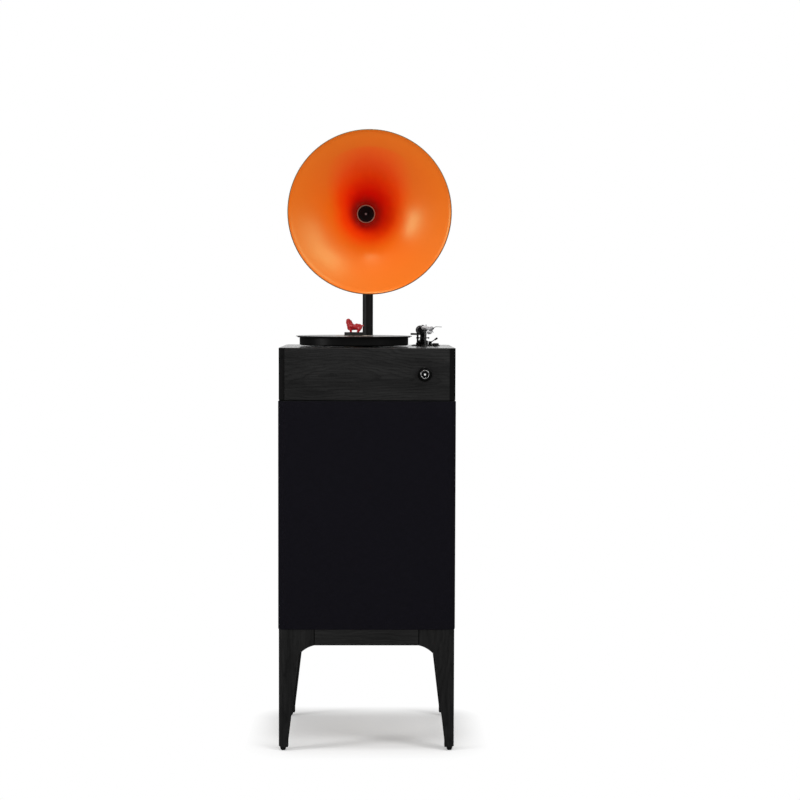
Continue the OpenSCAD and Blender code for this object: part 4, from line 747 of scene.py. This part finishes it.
# Painted highlight: the cone's tip is pale to stand for its glint
disc("driver_tip", 2.9, 0.6, "pale_plastic", "horn", "spindle_steel",
     HORN @ place(0, 0, DRIVER_FRONT - 9 + 3.2), dome=1.5)

# Knob: its lens, and its bright ring with a rounded face
REACH = 17
disc("knob_lens", 2.5, 0.9, "lens", "volume_knob", "knob_bright", KNOB @ place(0, 0, REACH), dome=0.5)
ring = [(10.6 - 0.55 + 0.62 * math.cos(a), REACH + 0.3 + 0.55 * math.sin(a))
        for a in (math.radians(20 * i) for i in range(18))]
joined("knob_ring_face", [spun(ring, 128)], "bright", "volume_knob", "knob_bright", KNOB)

# ---------------------------------------------------------------- tonearm
BASE = place(154, 84, DECK)
LIFT = PIVOT @ rot("Z", -22) @ place(0, -38, 0)
LIFT_LOW = ARM_RISE - 19

# Base disc with a turned step, slim guide of the lifting bar, and the lever's lug
lug = [(-5.5, 0), (5.5, 0), (5.5, 9), (4, 11.2), (2, 12), (-2, 12), (-4, 11.2), (-5.5, 9)]
joined("arm_base_skin", [
    at(spun([(0, 0), (37.2, 0), (38, 0.8), (38, 1.7), (37.2, 2.4), (34.4, 2.4), (33.8, 3), (0, 3)], 128),
       BASE),
    at(spun([(0, 0), (4.5, 0), (4.5, 7), (4.1, 8.2), (2.7, 9), (2.5, LIFT_LOW - 2.2), (3.0, LIFT_LOW - 1.6),
             (3.0, LIFT_LOW - 0.6), (2.7, LIFT_LOW - 0.3), (0, LIFT_LOW - 0.3)], 32), LIFT),
    at(solid_shape(lug, 9, 0.4, -4.5), BASE, place(12, 0, 0), rot("Z", 90), FORWARD)],
    "black_anodised", "cabinet", "arm_black", replaces="arm_base")
# Pillar: wide foot with a grooved edge, a sloping shoulder and a slim neck
joined("arm_pillar_skin", [at(spun([
    (0, 3), (14.0, 3), (14.6, 3.6), (14.6, 6.2), (14.0, 6.7), (14.0, 7.3), (14.6, 7.8), (14.6, 11),
    (14.1, 12.4), (12.6, 13.4), (9.6, 14.6), (8.0, 16.2), (7.2, 18.6), (7.0, 22), (7.0, 27.6), (7.8, 28.4),
    (8.6, 28.8), (8.6, 29.8), (8.2, 30.2), (0, 30.2)]), PIVOT)],
    "black_anodised", "cabinet", "arm_black", replaces="arm_pillar")
for k, turn in enumerate((-70, 50, 170)):
    disc("pillar_screw_%d" % k, 1.5, 0.5, "gloss_black", "cabinet", "arm_black",
         PIVOT @ rot("Z", turn) @ place(14.5, 0, 9.4) @ rot("Y", 90), cut=0.5)

# Fork of the gimbal with round ears; the outer ear carries a tall pin
fork = [(-7.2, -15.6), (7.2, -15.6), (7.6, -13.6), (10.4, -6), (10.4, 3), (7.4, 3), (7.4, -8.6), (4.6, -12),
        (-4.6, -12), (-7.4, -8.6), (-7.4, 3), (-10.4, 3), (-10.4, -6), (-7.6, -13.6)]
joined("arm_fork", [
    spun([(0, -17), (13.2, -17), (13.5, -16.7), (13.5, -16.2), (13.1, -15.9), (8, -15.4), (0, -15.4)]),
    spun([(0, -39), (4, -39), (4, -16), (0, -16)], 32),
    at(solid_shape(fork, 8.4, 0.5, -4.2), FORWARD),
    at(disc_shape(5.0, 3.0, 0.5), place(7.4, 0, 0), rot("Y", 90)),
    at(disc_shape(5.0, 3.0, 0.5), place(-7.4, 0, 0), rot("Y", -90)),
    tube_shape([(9, 0, 3), (9, 0, 7.6), (9, 0, 8.8)], [1.1, 0.9, 0.5])],
    "arm_dark", "arm_yoke", "arm_black", ARM, replaces="arm_yoke")
for side, x in (("left", -1), ("right", 1)):
    disc("gimbal_cap_" + side, 2.6, 0.8, "silver", "arm_yoke", "arm_silver",
         ARM @ place(x * 10.4, 0, 0) @ rot("Y", 90 * x), cut=0.7)

# Tube with its collar, the round hub with its pivots, and the black stub for the counterweight
joined("arm_tube_skin", [at(spun([
    (0, 6), (5.4, 6), (5.4, 20), (5.0, 90), (4.45, 160), (4.2, 184), (4.2, 186.6), (5.3, 187), (5.8, 187.6),
    (5.8, 188.6), (5.5, 189), (5.5, 190), (5.8, 190.4), (5.8, 191.4), (5.5, 191.8), (5.5, 192.8),
    (5.8, 193.2), (5.8, 195.4), (5.3, ARM_LONG), (0, ARM_LONG)], 40), FORWARD)],
    "alloy", "arm", "arm_silver", ARM, replaces="arm_tube")
joined("arm_hub", [
    at(spun([(0, -8.5), (6.0, -8.5), (6.8, -8), (7.0, -7), (7.0, -2), (6.6, -1.6), (6.6, 1.6), (7.0, 2),
             (7.0, 7), (6.8, 8), (6.0, 8.5), (0, 8.5)], 48), FORWARD),
    at(spun([(0, -9.8), (1.5, -9.8), (1.5, -7), (3.4, -7), (3.4, 7), (1.5, 7), (1.5, 9.8), (0, 9.8)], 24),
       rot("Y", 90)),
    at(spun([(0, -76), (3.4, -76), (4, -75.4), (4, 0), (0, 0)], 32), FORWARD)],
    "arm_dark", "arm", "arm_black", ARM)
disc("hub_screw", 2.4, 0.7, "silver", "arm", "arm_silver", ARM @ place(0, 0, 6.9), dome=0.2, cut=0.6)

# Headshell: tapered plate with a socket, and a flat finger lift that curves up
shell = [(-3.2, -3), (3.2, -3), (6.5, -11), (6.5, -29), (5, -36), (-5, -36), (-6.5, -29), (-6.5, -11)]
rise = [(6.0, -0.4), (8.0, 0.8), (10.0, 2.8), (12.0, 4.5), (14.0, 5.3), (17.0, 5.5), (30.0, 5.0)]
joined("headshell_skin", [
    at(spun([(0, ARM_LONG), (4.2, ARM_LONG), (4.2, 198), (3.6, 199), (3.0, 202), (0, 202)], 32),
       HEAD.inverted() @ ARM @ FORWARD),
    solid_shape(shell, 2.6, 0.5, -0.9),
    at(block_shape((5, 6, 3), 0.8), place(0, -5, 0))],
    "alloy", "arm", "arm_silver", HEAD, replaces="headshell")
hook = rise + [(x, z - 1.2) for x, z in rise[::-1]]
joined("finger_lift", [at(solid_shape(hook, 4.2, 0.25, -2.1), place(0, -14, 0), FORWARD)],
       "scale_grey", "arm", "arm_silver", HEAD)
disc("lift_root", 2.5, 3.4, "gloss_black", "arm", "cartridge_black", HEAD @ place(7.2, -14, -0.6), edge=1.0)
for side, x in (("left", -1), ("right", 1)):
    disc("shell_screw_" + side, 1.6, 1.0, "gloss_black", "arm", "cartridge_black",
         HEAD @ place(x * 3.2, -21, 1.7), cut=0.5)

# Cartridge: pale body, its black mount and stylus guard, cantilever and coloured leads
nose = [(-33, -5.4), (-11, -5.4), (-11, -9.5), (-16, -12.6), (-27, -12.6), (-33, -8.8)]
guard = [(-27, -12.4), (-17, -12.4), (-18.5, -13.9), (-26, -13.9)]
joined("cartridge_mount", [
    at(block_shape((7, 10, 3.0), 0.4), place(0.8, -16, -4.5)),
    at(solid_shape(guard, 5, 0.3, -2.5), rot("Z", 90), FORWARD),
    tube_shape([(3.4, -12.4, -4.6), (5.0, -12.6, -6.0), (7.0, -13, -8.6), (8.0, -13.4, -10.4)],
               [0.9, 0.8, 0.7, 0.5], 10)],
    "gloss_black", "arm", "cartridge_black", HEAD, replaces="cartridge")
joined("cartridge_body", [
    at(solid_shape(nose, 9.4, 0.6, -4.7), rot("Z", 90), FORWARD),
    at(block_shape((8.4, 17, 2.6), 0.4), place(0, -23, -2.1))], "pale_plastic", "arm", "arm_silver", HEAD)
joined("cantilever", [tube_shape([(0, -25, -13.6), (0, -31.6, -15.4)], [0.5, 0.3], 8)],
       "silver", "arm", "arm_silver", HEAD)
for i, (kind, x) in enumerate((("wire_red", -3), ("wire_white", -1), ("wire_blue", 1), ("wire_green", 3))):
    high = i % 2
    run = [(x, -10.6, -7 + high), (x, -8.4, -7.2 + high), (x * 0.8, -5.6, -5.0), (x * 0.5, -3.4, -2.2)]
    joined("cartridge_lead_%d" % i, [tube_shape(run, 0.4, 8)], kind, "arm", "cartridge_black", HEAD)

# Counterweight: a scale ring with engraved marks on its front
SCALE = ARM @ place(0, 50 - 11, -6.8) @ FORWARD
joined("weight_scale", [at(spun([
    (8.4, -0.4), (11.2, -0.4), (11.2, 0.5), (10.8, 0.8), (8.8, 0.8), (8.4, 0.5)]), SCALE)],
    "scale_grey", "counterweight", "weight_black")
marks = [at(block_shape((0.35, 1.0 if k % 3 else 1.7, 0.12), 0.05),
            SCALE, rot("Z", 30 * k), place(0, 9.8, 0.84)) for k in range(12)]
joined("weight_marks", marks, "silver", "counterweight", "arm_silver")

# Lifting bar: bright silver strip on its top, a painted highlight of its lit top face
ARC = [math.radians(-144 + 2 * i) for i in range(29)]
strip = [(r * math.cos(a), r * math.sin(a)) for r, arc in ((40.1, ARC), (36.4, ARC[::-1])) for a in arc]
joined("lift_bar_highlight", [at(solid_shape(strip, 0.4, 0.1, ARM_RISE - 14 - 0.32), PIVOT)],
       "silver", "lift_bar", "arm_silver")

# ---------------------------------------------------------------- camera, floor and light
scene = bpy.context.scene
scene.view_settings.view_transform = "Standard"
cam_data = bpy.data.cameras.new("camera")
cam = bpy.data.objects.new("camera", cam_data)
scene.collection.objects.link(cam)
scene.camera = cam
# Focal length in pixels of the 800 pixel picture, and the angles of the fitted view
FOCAL, PICTURE = 1735.5, 800
cam_data.sensor_width = 36
cam_data.lens = FOCAL / PICTURE * 36
cam_data.clip_start, cam_data.clip_end = 0.1, 60
yaw, pitch, roll = (math.radians(a) for a in (0.8384, 3.0371, 0.1788))
look = Vector((math.sin(yaw) * math.cos(pitch), math.cos(yaw) * math.cos(pitch), -math.sin(pitch)))
right = look.cross(Vector((0, 0, 1))).normalized()
up = right.cross(look)
right, up = right * math.cos(roll) + up * math.sin(roll), up * math.cos(roll) - right * math.sin(roll)
cam.matrix_world = Matrix.LocRotScale(Vector((0.01895, -4.5289, 1.11685)),
                                      Matrix((right, up, -look)).transposed(), Vector((1, 1, 1)))

# White surround for the camera and for mirrors; softer, and darker in front, as light on the object
world = bpy.data.worlds.new("studio")
scene.world = world
world.use_nodes = True
wt = world.node_tree
wn = wt.nodes
back = wn["Background"]
back.inputs[0].default_value = (1, 1, 1, 1)
path = wn.new("ShaderNodeLightPath").outputs
sep = wn.new("ShaderNodeSeparateXYZ")
wt.links.new(wn.new("ShaderNodeTexCoord").outputs["Generated"], sep.inputs[0])
to_x, to_y, to_z = sep.outputs


def wmath(op, a, b=0.0):
    n = wn.new("ShaderNodeMath")
    n.operation = op
    for s, v in zip(n.inputs, (a, b)):
        if isinstance(v, (int, float)):
            s.default_value = v
        else:
            wt.links.new(v, s)
    return n.outputs[0]


def wrange(v, a, b, c, d):
    n = wn.new("ShaderNodeMapRange")
    wt.links.new(v, n.inputs[0])
    for i, x in enumerate((a, b, c, d)):
        n.inputs[i + 1].default_value = x
    return n.outputs[0]


seen = wmath("MAXIMUM", path["Is Camera Ray"], path["Is Transmission Ray"])
# What glossy surfaces mirror: bright behind and above, dim in front
behind = wmath("MULTIPLY", wrange(to_y, 0.0, 0.2, 0.0, 1.0), wrange(to_z, 0.0, 0.03, 0.0, 1.0))
behind = wmath("MULTIPLY", behind, wrange(wmath("ABSOLUTE", to_x), 0.2, 0.45, 1.0, 0.06))
above = wrange(to_z, 0.3, 0.85, 0.0, 0.5)
front = wrange(to_y, -0.55, -0.95, 0.04, 0.30)
mirror = wmath("MAXIMUM", wmath("MAXIMUM", behind, above), front)
mirror = wmath("MULTIPLY", mirror, path["Is Glossy Ray"])
# What lights matt surfaces: even, with more from the front
plain = wmath("ADD", 0.44, wrange(to_y, -0.35, -0.95, 0.0, 0.62))
plain = wmath("MULTIPLY", wmath("SUBTRACT", 1.0, path["Is Glossy Ray"]), plain)
wt.links.new(wmath("MAXIMUM", seen, wmath("ADD", mirror, plain)), back.inputs[1])


def lamp(name, where, aim, size, watts, turn=0):
    """Rectangular lamp that faces a point, turned about its own line of sight."""
    d = bpy.data.lights.new(name, "AREA")
    d.shape = "RECTANGLE"
    d.size, d.size_y = size
    d.energy = watts
    o = bpy.data.objects.new(name, d)
    scene.collection.objects.link(o)
    o.location = where
    o.rotation_mode = "QUATERNION"
    facing = (Vector(aim) - Vector(where)).to_track_quat("-Z", "Y")
    o.rotation_quaternion = facing @ rot("Z", turn).to_quaternion()


lamp("key_right", (1.95, -1.6, 2.75), (0, 0, 1.3), (0.65, 2.2), 34, turn=25)
lamp("left_strip", (-2.95, -1.2, 2.15), (0, 0, 1.35), (0.65, 1.9), 42)
lamp("overhead", (-0.1, -0.45, 4.1), (0, 0, 0.8), (0.8, 0.6), 26)

# Floor: pale, with the object's shadow, white to the camera away from it
floor_mesh = bpy.data.meshes.new("floor")
R = 14
floor_mesh.from_pydata([(-R, -R, 0), (R, -R, 0), (R, R, 0), (-R, R, 0)], [], [(0, 1, 2, 3)])
floor = bpy.data.objects.new("floor", floor_mesh)
scene.collection.objects.link(floor)
g = Graph("pale_floor", Roughness=0.9, Specular_IOR_Level=0.0)
light = g.add("Emission", {"Color": (1, 1, 1), "Strength": 1.0})
rays = g.add("LightPath").outputs
# Distance outside the feet, over which the shadow fades, in metres
INSET, FADE = 0.045, 0.19
spot = g.split(g.coords())
out_x, out_y = (g.math("MAXIMUM", g.math("SUBTRACT", g.math("ABSOLUTE", spot[i]), w / 2000 - INSET), 0.0)
                for i, w in ((0, WIDE), (1, DEEP)))
gap = g.math("SQRT", g.plus(g.times(out_x, out_x), g.times(out_y, out_y)))
far = g.add("MapRange", {0: gap, 1: 0.0, 2: FADE}, interpolation_type="SMOOTHSTEP").outputs[0]
tone = g.mix(rays["Is Glossy Ray"], grey(0.75), grey(0.12))
g.base(g.mix(rays["Is Camera Ray"], tone, grey(0.99)))
share = g.times(rays["Is Camera Ray"], g.span(far, 0, 0.8, 0.13, 1.0))
mixer = g.add("MixShader", {0: share, 1: g.b.outputs[0], 2: light.outputs[0]})
g.put(g.t.nodes["Material Output"].inputs["Surface"], mixer.outputs[0])
floor_mesh.materials.append(g.m)
